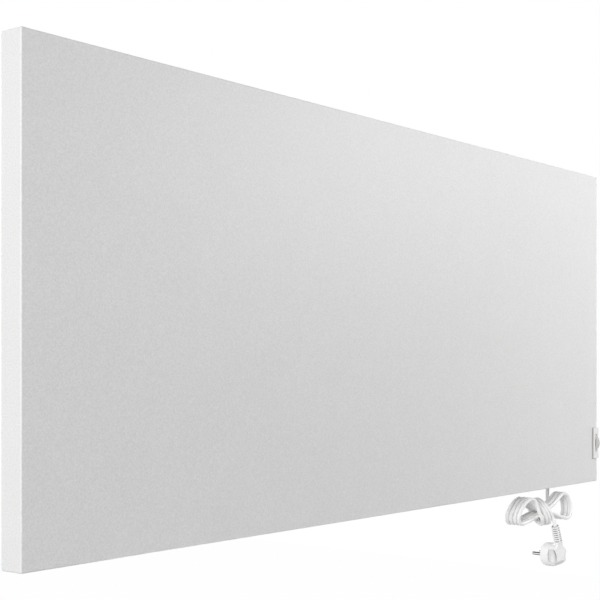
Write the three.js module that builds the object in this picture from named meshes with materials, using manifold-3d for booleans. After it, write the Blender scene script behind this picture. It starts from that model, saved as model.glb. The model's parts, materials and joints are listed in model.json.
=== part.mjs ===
// Infrared panel heater with a built-in thumbwheel thermostat and a mains lead, hung on a wall rail.
// Millimetres. +X along the panel to the right as seen from the room, +Y into the wall, +Z up.
// The origin is the middle of the wall rail's flat back, which lies on the wall.
import * as THREE from 'three';
import { mergeVertices } from 'three/addons/utils/BufferGeometryUtils.js';
import Module from 'manifold-3d';

const wasm = await Module();
wasm.setup();

// ---------------------------------------------------------------- driving dimensions
const WIDTH = 1200;             // panel, along X
const HEIGHT = 500;             // panel, along Z
const THICKNESS = 30;           // front face to back plate
const WALL_GAP = 25;            // back plate to wall
const SHEET = 1.2;              // steel of the front tray
const BACK_SHEET = 0.8;         // galvanised back plate
const FLANGE = 14;              // return flange round the tray's back
const EDGE_RADIUS = 1.6;        // folded edge round the front
const FIT = 0.3;                // clearance between pieces that touch

const RAIL_ABOVE_BOTTOM = 377;  // middle of the rail's back face above the panel's lower edge
const RAIL_LENGTH = 800;
const RAIL_PLATE = 36;          // height of the rail's flat plate
const RAIL_SHEET = 2;
const RAIL_STEP = 8;            // how far the rail's lip stands off the wall
const RAIL_LIP = 13;            // height of the lip above the step
const HANGER_X = 350;           // each hanger from the middle
const HANGER_WIDTH = 60;

const MODULE = { width: 17.3, height: 50, low: 38, proud: 3.2, wall: 1.6, front: 2.2 };
const THUMB = { depth: 2, half: 15.5 };     // the hollow in the module's front, at its right edge
const WHEEL = { radius: 17, thickness: 5, proud: 5, teeth: 36, bore: 2.2 };
const SPINDLE_RADIUS = 1.9;
const WHEEL_TURN = 270;         // degrees from stop to stop
const ARM_TURN = 10;            // degrees that the contact arm gives over that turn
const CAM = { low: 5.2, thickness: 2.2 };
const ARM = { reach: 18, above: 15, thickness: 1, width: 2.2 };

const BOX = { x: 500, z: 125, width: 92, height: 62, depth: 19.2, wall: 2 };
const GLAND = { x: 507, depth: 41, radius: 8.5, length: 33 };

const CORD = 5.8;               // diameter of the mains lead
const HANK = {
  x: 454.5, depth: 28.5, z: -34.5,  // middle of the loops
  turn: 4,                      // degrees that the hank's left end lies nearer the wall
  start: 30,                    // where the lead enters the waist, right of its middle
  loops: 3, left: 73, right: 76, fold: 19, nest: 1.6,
  waist: 3.5, flat: 11,         // half height of the drawn-in waist, and half its straight length
  sag: 4,                       // how far the waist lies below the middle of the loops
  layer: 6.5,                   // from one layer of loops to the next
  leanLeft: 0.3, leanRight: 0.15,  // how far the left loops' tops lean to the room, and the right ones' back
  steps: 24, sides: 6,
};
// The turns wrapped round the waist: rings that lean left at the top and right at the back.
const WRAP = { turns: 3, radius: 21, below: 5, lean: 0.6, skew: 0.6, pitch: 8.7, loose: 4 };
const RELIEF = { top: [466, 7.5, -62], foot: [476.2, 7.5, -88], radius: 6.8, tip: 6, ribs: 7, collar: 2.4, groove: 2 };
const PLUG = {
  x: 475, depth: -2.4, z: -108.5,
  turn: 7,                      // degrees that its pins point to the right of the wall
  radius: 18.5, backRadius: 16.6,
  back: 3, seam: 17.3, face: 32.6,  // its rear face, its seam and its contact face, from that depth
  pin: 2.4, pinLength: 19, pinSpacing: 19,
};

// ---------------------------------------------------------------- finishes
const finish = (color, roughness, metalness = 0) =>
  new THREE.MeshStandardMaterial({ color, roughness, metalness });
const enamel = () => finish(0xdcdcda, 0.55);
const zinc = () => finish(0xb4b8ba, 0.4, 0.9);
const steel = () => finish(0xa8abad, 0.35, 0.9);
const whitePlastic = () => finish(0xe9e9e6, 0.45);
const brass = () => finish(0xb59b55, 0.35, 0.9);
const nickel = () => finish(0xc9c9c6, 0.2, 1);
const pvc = () => finish(0xecebe7, 0.5);
const rubber = () => finish(0x2b2b2c, 0.8);
const wool = () => finish(0xd8c878, 0.95);
const foil = () => finish(0xc4c8cb, 0.25, 0.9);
const mica = () => finish(0x8a7f6a, 0.6);
const silicone = () => finish(0x8c3526, 0.7);
const ceramic = () => finish(0xe2ded2, 0.5);
const wire = (color) => finish(color, 0.5);

// ---------------------------------------------------------------- solids
const asSolid = (geometry) => {
  const bare = geometry.clone();
  bare.deleteAttribute('normal');
  bare.deleteAttribute('uv');
  const merged = mergeVertices(bare.index ? bare.toNonIndexed() : bare, 1e-4);
  return new wasm.Manifold(new wasm.Mesh({
    numProp: 3,
    vertProperties: Float32Array.from(merged.attributes.position.array),
    triVerts: Uint32Array.from(merged.index.array),
  }));
};

const asGeometry = (solid) => {
  const mesh = solid.getMesh();
  const geometry = new THREE.BufferGeometry();
  geometry.setAttribute('position', new THREE.BufferAttribute(Float32Array.from(mesh.vertProperties), 3));
  geometry.setIndex(new THREE.BufferAttribute(Uint32Array.from(mesh.triVerts), 1));
  geometry.computeVertexNormals();
  return geometry;
};

const cut = (body, ...tools) =>
  asGeometry(tools.reduce((left, tool) => left.subtract(asSolid(tool)), asSolid(body)));
const join = (body, ...others) =>
  asGeometry(others.reduce((whole, other) => whole.add(asSolid(other)), asSolid(body)));
const common = (body, other) => asGeometry(asSolid(body).intersect(asSolid(other)));

// A block between two corners.
const block = (x0, x1, y0, y1, z0, z1) =>
  new THREE.BoxGeometry(x1 - x0, y1 - y0, z1 - z0)
    .translate((x0 + x1) / 2, (y0 + y1) / 2, (z0 + z1) / 2);

// A round bar along an axis, from one coordinate to another, through the point (a, b) of the other two.
const bar = (axis, radius, from, to, a, b, sides = 16, farRadius = radius) => {
  const rod = new THREE.CylinderGeometry(farRadius, radius, to - from, sides);
  if (axis === 'x') return rod.rotateZ(-Math.PI / 2).translate((from + to) / 2, a, b);
  if (axis === 'y') return rod.translate(a, (from + to) / 2, b);
  return rod.rotateX(Math.PI / 2).translate(a, b, (from + to) / 2);
};

// A flat outline in (Y, Z) drawn out along X.
const alongX = (points, from, to) => {
  const shape = new THREE.Shape(points.map(([y, z]) => new THREE.Vector2(y, z)));
  const turn = new THREE.Matrix4().set(0, 0, 1, from, 1, 0, 0, 0, 0, 1, 0, 0, 0, 0, 0, 1);
  return new THREE.ExtrudeGeometry(shape, { depth: to - from, bevelEnabled: false }).applyMatrix4(turn);
};

// A profile of [radius, height] points turned about an upright axis.
const turned = (profile, sides = 20) =>
  new THREE.LatheGeometry(profile.map(([r, z]) => new THREE.Vector2(r, z)), sides).rotateX(Math.PI / 2);

// A round wire or cord along a smooth curve through the points.
const strand = (points, diameter, steps, sides = 8) => {
  const curve = new THREE.CatmullRomCurve3(points.map((p) => new THREE.Vector3(...p)), false, 'centripetal');
  const section = new THREE.Shape();
  for (let i = 0; i < sides; i += 1) {
    const angle = (2 * Math.PI * i) / sides;
    const corner = [Math.cos(angle) * diameter / 2, Math.sin(angle) * diameter / 2];
    if (i) section.lineTo(...corner);
    else section.moveTo(...corner);
  }
  return new THREE.ExtrudeGeometry(section, { steps, bevelEnabled: false, extrudePath: curve });
};

const root = new THREE.Group();
// Inside this group, y is the depth behind the panel's front face and z the height above its lower edge.
const panel = new THREE.Group();
panel.position.set(0, -(WALL_GAP + THICKNESS), -RAIL_ABOVE_BOTTOM);
root.add(panel);

const add = (name, geometry, material, position = [0, 0, 0], group = panel) => {
  const mesh = new THREE.Mesh(geometry, material);
  mesh.name = name;
  mesh.position.set(...position);
  group.add(mesh);
  return mesh;
};

// ---------------------------------------------------------------- front tray and back plate
const WALL = THICKNESS + WALL_GAP;              // depth of the wall
const SIDE = WIDTH / 2;
const BACK_INSIDE = THICKNESS - BACK_SHEET;     // depth of the back plate's inner face
const TRAY_DEPTH = BACK_INSIDE - FIT;
const SCREW = { x: [-570, -190, 190, 570], z: [7, HEIGHT - 7], hole: 1.8, shank: 1.4, head: 3.2 };
const MODULE_LEFT = SIDE - MODULE.width;

function trayOutside() {
  const inset = EDGE_RADIUS;
  const face = new THREE.Shape();
  face.moveTo(-SIDE + inset, inset);
  face.lineTo(SIDE - inset, inset);
  face.lineTo(SIDE - inset, HEIGHT - inset);
  face.lineTo(-SIDE + inset, HEIGHT - inset);
  const rounded = new THREE.ExtrudeGeometry(face, {
    depth: TRAY_DEPTH, bevelEnabled: true, bevelThickness: inset, bevelSize: inset, bevelSegments: 3,
  });
  // The shape's third axis becomes depth: its front bevel is the folded edge, its back one is cut off.
  rounded.rotateX(Math.PI / 2);
  rounded.translate(0, TRAY_DEPTH + inset, 0);
  const keep = block(-SIDE - 1, SIDE + 1, -1, TRAY_DEPTH, -1, HEIGHT + 1);
  return common(rounded, keep);
}

function frontShell() {
  const inside = block(-SIDE + SHEET, SIDE - SHEET, SHEET, TRAY_DEPTH - SHEET, SHEET, HEIGHT - SHEET);
  const mouth = block(-SIDE + FLANGE, SIDE - FLANGE, SHEET, TRAY_DEPTH + 1, FLANGE, HEIGHT - FLANGE);
  const notch = block(MODULE_LEFT - FIT, SIDE + 1, -1, TRAY_DEPTH + 1,
    MODULE.low - FIT, MODULE.low + MODULE.height + FIT);
  const holes = SCREW.x.flatMap((x) => SCREW.z.map((z) =>
    bar('y', SCREW.hole, TRAY_DEPTH - 3, TRAY_DEPTH + 1, x, z, 10)));
  return cut(trayOutside(), inside, mouth, notch, ...holes);
}
add('front_shell', frontShell(), enamel());

const LEADS_HOLE = { x: 533, z: BOX.z, radius: 7 };
function backPlate() {
  const plate = block(-SIDE + 3, SIDE - 3, BACK_INSIDE, THICKNESS, 3, HEIGHT - 3);
  const holes = SCREW.x.flatMap((x) => SCREW.z.map((z) =>
    bar('y', SCREW.hole, BACK_INSIDE - 1, THICKNESS + 1, x, z, 10)));
  const leads = bar('y', LEADS_HOLE.radius, BACK_INSIDE - 1, THICKNESS + 1, LEADS_HOLE.x, LEADS_HOLE.z, 20);
  return cut(plate, leads, ...holes);
}
add('back_plate', backPlate(), zinc());

const screwShape = (head, shank, length) => turned([
  [0, -length], [shank, -length], [shank, 0], [head, 0], [head, 0.9], [head * 0.7, 1.6], [0, 1.6],
], 12);
// The screw's axis turned to point at the wall.
const wallScrew = (head, shank, length) => screwShape(head, shank, length).rotateX(-Math.PI / 2);
SCREW.x.forEach((x, column) => SCREW.z.forEach((z, row) => {
  add(`back_screw_${column * 2 + row + 1}`, wallScrew(SCREW.head, SCREW.shank, 7), zinc(),
    [x, THICKNESS + FIT, z]);
}));

// ---------------------------------------------------------------- heating stack
const STACK_LEFT = -575;
const BAY_LEFT = 515;                           // the wiring bay runs from here to the thermostat
let depth = SHEET + FIT;
const layer = (name, thickness, right, margin, material) => {
  add(name, block(STACK_LEFT, right, depth, depth + thickness, margin, HEIGHT - margin), material);
  depth += thickness + FIT;
};
layer('mica_sheet', 0.5, 570, 18, mica());
layer('heating_mat', 0.8, 565, 22, silicone());
const MAT_BACK = depth;
layer('reflector_foil', 0.4, BAY_LEFT, 20, foil());
layer('insulation_board', 18, BAY_LEFT, 18, wool());

function stiffener() {
  const low = depth + FIT;
  const high = BACK_INSIDE - FIT;
  const web = 1;
  return alongX([[low, -9], [low + web, -9], [low + web, 8], [high - web, 8], [high - web, 0],
    [high, 0], [high, 9], [low, 9]], -520, 470);
}
add('stiffener_top', stiffener(), zinc(), [0, 0, 392]);
add('stiffener_bottom', stiffener(), zinc(), [0, 0, 210]);

// ---------------------------------------------------------------- hanging on the wall
const LIP_BASE = RAIL_ABOVE_BOTTOM + RAIL_PLATE / 2;
const LIP_TOP = LIP_BASE + RAIL_LIP;

function wallRail() {
  const half = RAIL_PLATE / 2;
  const lipBack = -RAIL_STEP + RAIL_SHEET;
  const outline = [[0, -half], [0, half], [lipBack, half], [lipBack, half + RAIL_LIP],
    [-RAIL_STEP, half + RAIL_LIP], [-RAIL_STEP, half - RAIL_SHEET], [-RAIL_SHEET, half - RAIL_SHEET],
    [-RAIL_SHEET, -half]];
  const rail = alongX(outline.reverse(), -RAIL_LENGTH / 2, RAIL_LENGTH / 2);
  const holes = [-360, -120, 120, 360].map((x) => bar('y', 3, -RAIL_SHEET - 1, 1, x, -4, 12));
  return cut(rail, ...holes);
}
add('wall_rail', wallRail(), zinc(), [0, 0, 0], root);

function hanger() {
  const front = THICKNESS + FIT;
  const back = WALL - 3;
  const sheet = 2;
  const top = LIP_TOP + FIT + sheet;
  return alongX([[front, LIP_TOP - 48], [front + sheet, LIP_TOP - 48], [front + sheet, top - sheet],
    [back - sheet, top - sheet], [back - sheet, LIP_BASE + 1], [back, LIP_BASE + 1], [back, top],
    [front, top]], -HANGER_WIDTH / 2, HANGER_WIDTH / 2);
}
add('hanger_left', hanger(), zinc(), [-HANGER_X, 0, 0]);
add('hanger_right', hanger(), zinc(), [HANGER_X, 0, 0]);

const bumper = () => turned([[0, 0], [11, 0], [11, 3], [8, 5], [7, 21], [6, WALL_GAP - FIT], [0, WALL_GAP - FIT]], 20)
  .rotateX(-Math.PI / 2);
add('bumper_left', bumper(), rubber(), [-420, THICKNESS + FIT, 24]);
add('bumper_right', bumper(), rubber(), [420, THICKNESS + FIT, 24]);

// ---------------------------------------------------------------- thermostat
const MODULE_TOP = MODULE.low + MODULE.height;
const MODULE_BACK = TRAY_DEPTH - 0.5;
const WHEEL_AT = {
  x: MODULE_LEFT + MODULE.width / 2,
  y: -MODULE.proud - WHEEL.proud + WHEEL.radius,
  z: MODULE.low + MODULE.height / 2,
};
const CAM_X = WHEEL_AT.x - WHEEL.thickness / 2 - 0.65 - CAM.thickness;
const ARM_FACE = WHEEL_AT.y + CAM.low + 0.6;    // depth of the arm's front face
const ARM_PIVOT = { y: ARM_FACE + ARM.thickness / 2, z: WHEEL_AT.z - ARM.reach };
const TAB_Y = ARM_FACE + 8.3;                   // depth of both terminals
const TAB_LEFT = MODULE_LEFT - 7;
const SLOT_HALF = 14.4;                         // half the height of the wheel's slot

function thermostatHousing() {
  const { wall } = MODULE;
  const body = block(MODULE_LEFT, SIDE, -MODULE.proud, MODULE_BACK, MODULE.low, MODULE_TOP);
  const inside = -MODULE.proud + MODULE.front;
  const cavity = block(MODULE_LEFT + wall, SIDE - wall, inside, MODULE_BACK - wall,
    MODULE.low + wall, MODULE_TOP - wall);
  const window = block(MODULE_LEFT - 1, MODULE_LEFT + wall + 1, 4.5, MODULE_BACK - wall - 1.5,
    MODULE.low + 4, MODULE_TOP - 4);
  const slotHalf = WHEEL.thickness / 2 + 0.7;
  const slot = block(WHEEL_AT.x - slotHalf, WHEEL_AT.x + slotHalf, -MODULE.proud - 1, inside + 1,
    WHEEL_AT.z - SLOT_HALF, WHEEL_AT.z + SLOT_HALF);
  // A shallow round hollow for the thumb, which runs out at the left and is deepest at the right edge.
  const round = (THUMB.half ** 2 + THUMB.depth ** 2) / (2 * THUMB.depth);
  const hollow = bar('x', round, -MODULE.width + 2, 2, -round, 0, 240)
    .rotateZ(Math.atan(THUMB.depth / (MODULE.width - 2)))
    .translate(SIDE, THUMB.depth - MODULE.proud, WHEEL_AT.z);
  return cut(body, cavity, window, slot, hollow);
}
add('thermostat_housing', thermostatHousing(), whitePlastic());

function thermostatCover() {
  const plate = block(MODULE_LEFT - FIT - 1.3, MODULE_LEFT - FIT, 3, MODULE_BACK - 2.5,
    MODULE.low + 1.5, MODULE_TOP - 1.5);
  const slots = [WHEEL_AT.z - 11, WHEEL_AT.z + 19].map((z) =>
    block(MODULE_LEFT - 3, MODULE_LEFT, TAB_Y - 0.6, TAB_Y + 1.4, z - 2.6, z + 2.6));
  return cut(plate, ...slots);
}
add('thermostat_cover', thermostatCover(), whitePlastic());

const SPINDLE_ENDS = [MODULE_LEFT + MODULE.wall + FIT, SIDE - MODULE.wall - FIT];
add('wheel_spindle', bar('x', SPINDLE_RADIUS, ...SPINDLE_ENDS, WHEEL_AT.y, WHEEL_AT.z, 16), steel());

function thumbwheel() {
  const outline = new THREE.Shape();
  const points = WHEEL.teeth * 4;
  for (let i = 0; i < points; i += 1) {
    const angle = (2 * Math.PI * i) / points;
    const radius = WHEEL.radius - (i % 4 < 2 ? 0 : 0.6);
    const at = [radius * Math.cos(angle), radius * Math.sin(angle)];
    if (i) outline.lineTo(...at);
    else outline.moveTo(...at);
  }
  const disc = new THREE.ExtrudeGeometry(outline, { depth: WHEEL.thickness, bevelEnabled: false });
  disc.translate(0, 0, -WHEEL.thickness / 2).rotateY(Math.PI / 2);
  const bore = bar('x', WHEEL.bore, -WHEEL.thickness, WHEEL.thickness, 0, 0, 16);
  const dish = bar('x', WHEEL.radius - 4, WHEEL.thickness / 2 - 1, WHEEL.thickness, 0, 0, 32);
  return cut(disc, bore, dish);
}
add('thumbwheel', thumbwheel(), whitePlastic(), [WHEEL_AT.x, WHEEL_AT.y, WHEEL_AT.z]);

// The cam's edge rises evenly with the wheel's turn, so the arm gives in proportion.
const CAM_RISE = ARM.reach * Math.tan(THREE.MathUtils.degToRad(ARM_TURN));
function dialCam() {
  const outline = new THREE.Shape();
  const spare = 20;
  const steps = 44;
  for (let i = 0; i <= steps; i += 1) {
    const turn = -spare + ((WHEEL_TURN + 2 * spare) * i) / steps;
    const radius = CAM.low + (CAM_RISE * turn) / WHEEL_TURN;
    const angle = -THREE.MathUtils.degToRad(turn);
    const at = [radius * Math.cos(angle), radius * Math.sin(angle)];
    if (i) outline.lineTo(...at);
    else outline.moveTo(...at);
  }
  const turn = new THREE.Matrix4().set(0, 0, 1, 0, 1, 0, 0, 0, 0, 1, 0, 0, 0, 0, 0, 1);
  const plate = new THREE.ExtrudeGeometry(outline, { depth: CAM.thickness, bevelEnabled: false })
    .applyMatrix4(turn);
  return cut(plate, bar('x', WHEEL.bore, -1, CAM.thickness + 1, 0, 0, 16));
}
add('dial_cam', dialCam(), whitePlastic(), [CAM_X, WHEEL_AT.y, WHEEL_AT.z]);

function contactArm() {
  const half = ARM.thickness / 2;
  const blade = block(0, ARM.width, -half, half, 1.6, ARM.reach + ARM.above);
  const eye = bar('x', 2.1, 0, ARM.width, 0, 0, 16);
  const button = bar('y', 1.05, half - 0.2, half + 1, ARM.width / 2, ARM.reach + ARM.above - 2, 12);
  const pin = bar('x', 1.2, -1, ARM.width + 1, 0, 0, 12);
  return cut(join(blade, eye, button), pin);
}
add('contact_arm', contactArm(), brass(), [CAM_X, ARM_PIVOT.y, ARM_PIVOT.z]);
add('arm_pivot_pin', bar('x', 0.9, ...SPINDLE_ENDS, ARM_PIVOT.y, ARM_PIVOT.z, 12), steel());

function fixedContact() {
  const top = WHEEL_AT.z + 21;
  const strip = block(CAM_X, CAM_X + ARM.width, TAB_Y, TAB_Y + 0.8, WHEEL_AT.z + 9, top);
  const tab = block(TAB_LEFT, CAM_X + ARM.width, TAB_Y, TAB_Y + 0.8, top - 4, top);
  return join(strip, tab);
}
add('fixed_contact', fixedContact(), brass());

function armTerminal() {
  const middle = WHEEL_AT.z - 11;
  const tab = block(TAB_LEFT, CAM_X + ARM.width, TAB_Y, TAB_Y + 0.8, middle - 2, middle + 2);
  const foot = block(CAM_X, CAM_X + ARM.width, TAB_Y, TAB_Y + 0.8, middle - 9, middle + 2);
  return join(tab, foot);
}
add('arm_terminal', armTerminal(), brass());

// ---------------------------------------------------------------- connection box on the back
const BOX_FRONT = THICKNESS + FIT;
const BOX_BACK = BOX_FRONT + BOX.depth;
const BOX_LOW = BOX.z - BOX.height / 2;
const BOX_LEFT = BOX.x - BOX.width / 2;
const POSTS = [[BOX_LEFT + 7, BOX.z + 23], [BOX_LEFT + BOX.width - 7, BOX.z - 23]];

function boxBase() {
  const { wall } = BOX;
  const right = BOX_LEFT + BOX.width;
  const high = BOX_LOW + BOX.height;
  const body = block(BOX_LEFT, right, BOX_FRONT, BOX_BACK, BOX_LOW, high);
  const inside = block(BOX_LEFT + wall, right - wall, BOX_FRONT + wall, BOX_BACK + 1, BOX_LOW + wall, high - wall);
  const gland = bar('z', 6.3, BOX_LOW - 1, BOX_LOW + wall + 1, GLAND.x, GLAND.depth, 20);
  const leads = bar('y', LEADS_HOLE.radius, BOX_FRONT - 1, BOX_FRONT + wall + 1, LEADS_HOLE.x, LEADS_HOLE.z, 20);
  const posts = POSTS.map(([x, z]) => bar('y', 3.4, BOX_FRONT + 1, BOX_BACK, x, z, 16));
  const threads = POSTS.map(([x, z]) => bar('y', 1.7, BOX_FRONT + 4, BOX_BACK + 1, x, z, 10));
  return cut(join(cut(body, inside), ...posts), gland, leads, ...threads);
}
add('connection_box', boxBase(), whitePlastic());

function boxLid() {
  const plate = block(BOX_LEFT, BOX_LEFT + BOX.width, BOX_BACK + FIT, BOX_BACK + FIT + 1.8,
    BOX_LOW, BOX_LOW + BOX.height);
  const holes = POSTS.map(([x, z]) => bar('y', 1.8, BOX_BACK - 1, BOX_BACK + 4, x, z, 10));
  return cut(plate, ...holes);
}
add('connection_box_lid', boxLid(), whitePlastic());
POSTS.forEach(([x, z], index) => {
  add(`lid_screw_${index + 1}`, wallScrew(3, 1.3, 9), zinc(), [x, BOX_BACK + 2 * FIT + 1.8, z]);
});

// A ring that keeps the leads off the steel where they pass through the back plate.
add('lead_grommet', cut(bar('y', LEADS_HOLE.radius - FIT, 27.6, 33.6, LEADS_HOLE.x, LEADS_HOLE.z, 20),
  bar('y', 5.1, 27, 34.5, LEADS_HOLE.x, LEADS_HOLE.z, 20)), rubber());

const POLES = [-10, 0, 10];
const TERMINALS = { x: 507, y: 39, z: 133, width: 34, height: 14, depth: 11 };
function terminalBlock() {
  const t = TERMINALS;
  const body = block(t.x - t.width / 2, t.x + t.width / 2, t.y - t.depth / 2, t.y + t.depth / 2,
    t.z - t.height / 2, t.z + t.height / 2);
  const screws = POLES.map((x) => bar('y', 2.2, t.y + 1, t.y + t.depth, t.x + x, t.z + 2, 12));
  return cut(body, ...screws);
}
add('terminal_block', terminalBlock(), ceramic());

function cordGland() {
  const low = BOX_LOW - FIT;
  const inside = BOX_LOW + BOX.wall + FIT;
  const profile = [[0, low - GLAND.length]];
  const ribs = 6;
  const first = low - 3;
  const span = GLAND.length - 8;
  for (let i = ribs; i > 0; i -= 1) {
    const foot = first - (span * i) / ribs;
    const radius = 4.3 + (2.6 * (ribs - i)) / ribs;
    if (i === ribs) profile.push([radius - 0.4, low - GLAND.length]);
    profile.push([radius, foot], [radius + 0.25, foot + 2.6], [radius - 0.7, foot + 2.9], [radius - 0.7, foot + 3.6]);
  }
  profile.push([6.9, first], [GLAND.radius, first], [GLAND.radius, low], [5.9, low], [5.9, inside],
    [7.6, inside], [7.6, inside + 2], [0, inside + 2]);
  return turned(profile, 20);
}
add('cord_gland', cordGland(), whitePlastic(), [GLAND.x, GLAND.depth, 0]);
const GLAND_TIP = BOX_LOW - FIT - GLAND.length;
const GLAND_TOP = BOX_LOW + BOX.wall + FIT + 2;

// The lead's sheath goes on inside the box, under its clamp, and opens into three cores.
const SHEATH_TOP = GLAND_TOP + FIT + 13;
add('inner_sheath', bar('z', CORD / 2, GLAND_TOP + FIT, SHEATH_TOP, GLAND.x, GLAND.depth, 12), pvc());
add('cord_clamp', cut(block(GLAND.x - 9, GLAND.x + 9, GLAND.depth - 7, GLAND.depth + 5, GLAND_TOP + 4, GLAND_TOP + 11),
  bar('z', CORD / 2 + FIT + 0.2, GLAND_TOP, GLAND_TOP + 20, GLAND.x, GLAND.depth, 16)), whitePlastic());
const WIRE_COLOURS = { live: 0x6b3f22, neutral: 0x2f5fa8, earth: 0x5f9a3a };
['live', 'neutral', 'earth'].forEach((name, index) => {
  const x = TERMINALS.x + POLES[index];
  const offset = (index - 1) * 2;
  const low = TERMINALS.z - TERMINALS.height / 2;
  add(`core_${name}`, strand([[GLAND.x + offset, GLAND.depth, SHEATH_TOP + FIT],
    [GLAND.x + offset, GLAND.depth, SHEATH_TOP + 1.5],
    [(GLAND.x + x) / 2 + offset, GLAND.depth - 1 + offset, (SHEATH_TOP + low) / 2],
    [x, TERMINALS.y, low - 1.2],
    [x, TERMINALS.y, low - FIT]], 1.5, 12, 6), wire(WIRE_COLOURS[name]));
});

// ---------------------------------------------------------------- leads in the wiring bay
const CUTOUT = { x: 545, z: 145 };
function overheatCutout() {
  const cap = bar('y', 8, MAT_BACK, MAT_BACK + 5, CUTOUT.x, CUTOUT.z, 20);
  const body = bar('y', 6.8, MAT_BACK + 4.5, MAT_BACK + 9.5, CUTOUT.x, CUTOUT.z, 20);
  const blades = [-4, 4].map((z) => block(CUTOUT.x - 1.6, CUTOUT.x + 1.6, MAT_BACK + 9, MAT_BACK + 14,
    CUTOUT.z + z - 0.4, CUTOUT.z + z + 0.4));
  return join(cap, body, ...blades);
}
add('overheat_cutout', overheatCutout(), steel());
const BLADE_END = MAT_BACK + 14 + FIT;

const EARTH = { x: 577, z: 250 };
add('earth_stud', bar('y', 2.4, SHEET + FIT, 14, EARTH.x, EARTH.z, 12), steel());
add('earth_nut', cut(bar('y', 4.6, 8.5, 11.5, EARTH.x, EARTH.z, 6),
  bar('y', 2.4 + FIT, 8, 12, EARTH.x, EARTH.z, 12)), brass());

const TERMINAL_TOP = TERMINALS.z + TERMINALS.height / 2 + 0.4;
// Each lead leaves its pole, runs over the block at its own height and depth, and turns down to the grommet,
// where it passes through the back plate in its own quarter.
const throughGrommet = (pole, quarterX, quarterZ, rise, deep) => {
  const x = LEADS_HOLE.x + quarterX * 2.2;
  const z = LEADS_HOLE.z + quarterZ * 2.2;
  return [[pole, TERMINALS.y, TERMINAL_TOP], [pole, TERMINALS.y, TERMINAL_TOP + 2.5],
    [pole + 4, deep, TERMINAL_TOP + rise], [x - 6, deep, TERMINAL_TOP + rise - 2],
    [x - 0.6, deep, z + 5], [x, deep - 3, z + 0.6], [x, 34, z], [x, 30, z], [x, 26, z]];
};
const POLE_X = POLES.map((x) => TERMINALS.x + x);
const leads = {
  lead_live: [[...throughGrommet(POLE_X[0], 1, 1, 10, 38.5), [541, 20, 119], [556, 18.5, 84], [566, 20, 58],
    [TAB_LEFT - 5, TAB_Y + 0.4, WHEEL_AT.z - 11], [TAB_LEFT - FIT, TAB_Y + 0.4, WHEEL_AT.z - 11]], 0x6b3f22],
  lead_neutral: [[...throughGrommet(POLE_X[1], -1, 1, 7, 41), [530, 19, 140], [527, 12, 170],
    [528, 6.5, 192], [528, MAT_BACK + 1.1, 200]], 0x2f5fa8],
  lead_earth: [[...throughGrommet(POLE_X[2], 1, -1, 4, 44.5), [533, 17, 120], [540, 9, 124], [560, 8.5, 142],
    [567, 9.5, 185], [566, 10, 235], [568, 10, 248], [EARTH.x - 5, 10, EARTH.z]], 0x5f9a3a],
  lead_switched: [[[TAB_LEFT - FIT, TAB_Y + 0.4, WHEEL_AT.z + 19], [TAB_LEFT - 5, TAB_Y + 0.4, WHEEL_AT.z + 19],
    [563, 22, 98], [556, 21.5, 120], [549, 20.5, 136], [CUTOUT.x, BLADE_END + 1, CUTOUT.z - 4]], 0x3a3a3c],
  lead_mat: [[[CUTOUT.x, BLADE_END + 1, CUTOUT.z + 4], [546, 20, 156], [543, 13, 172],
    [540, 7, 186], [540, MAT_BACK + 1.1, 194]], 0x3a3a3c],
};
Object.entries(leads).forEach(([name, [points, color]]) => {
  add(name, strand(points, 1.6, 34, 6), wire(color));
});

// ---------------------------------------------------------------- mains lead
const radians = THREE.MathUtils.degToRad(HANK.turn);
const inHank = ([along, up, back]) => [
  HANK.x + along * Math.cos(radians) + back * Math.sin(radians),
  HANK.depth - along * Math.sin(radians) + back * Math.cos(radians),
  HANK.z + up,
];
const eased = (t) => (1 - Math.cos(Math.PI * Math.min(1, Math.max(0, t)))) / 2;

// A point of the looped part: along the hank, up, and back towards the wall. One loop is one unit of turn,
// starting at the middle of its lower run and going left. It climbs a layer along its upper run.
function loopPoint(turn) {
  const { fold, waist, flat, sag } = HANK;
  const whole = Math.floor(turn);
  const part = turn - whole;
  const spiral = HANK.nest * (1 - Math.abs(turn - 1.7) / 1.7);
  const left = HANK.left - fold - spiral;
  const right = HANK.right - fold - spiral;
  const open = (along) => eased((Math.abs(along) - flat) / ((along < 0 ? left : right) - flat));
  const above = (along) => waist - sag + (fold - waist + sag) * open(along);
  const below = (along) => -waist - sag - (fold - waist - sag) * open(along);
  const leaning = (along, up) => {
    const lean = (along < 0 ? HANK.leanLeft : -HANK.leanRight) * open(along);
    return [along, up, HANK.layer * (1.5 - whole - eased((part - 0.375) / 0.25)) - lean * up];
  };
  if (part < 0.125) {
    const along = (-left * part) / 0.125;
    return leaning(along, below(along));
  }
  if (part < 0.375) {
    const angle = (Math.PI * (part - 0.125)) / 0.25;
    return leaning(-left - fold * Math.sin(angle), -fold * Math.cos(angle));
  }
  if (part < 0.625) {
    const along = -left + ((left + right) * (part - 0.375)) / 0.25;
    return leaning(along, above(along));
  }
  if (part < 0.875) {
    const angle = (Math.PI * (part - 0.625)) / 0.25;
    return leaning(right + fold * Math.sin(angle), fold * Math.cos(angle));
  }
  const along = right * (1 - (part - 0.875) / 0.125);
  return leaning(along, below(along));
}

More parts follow.
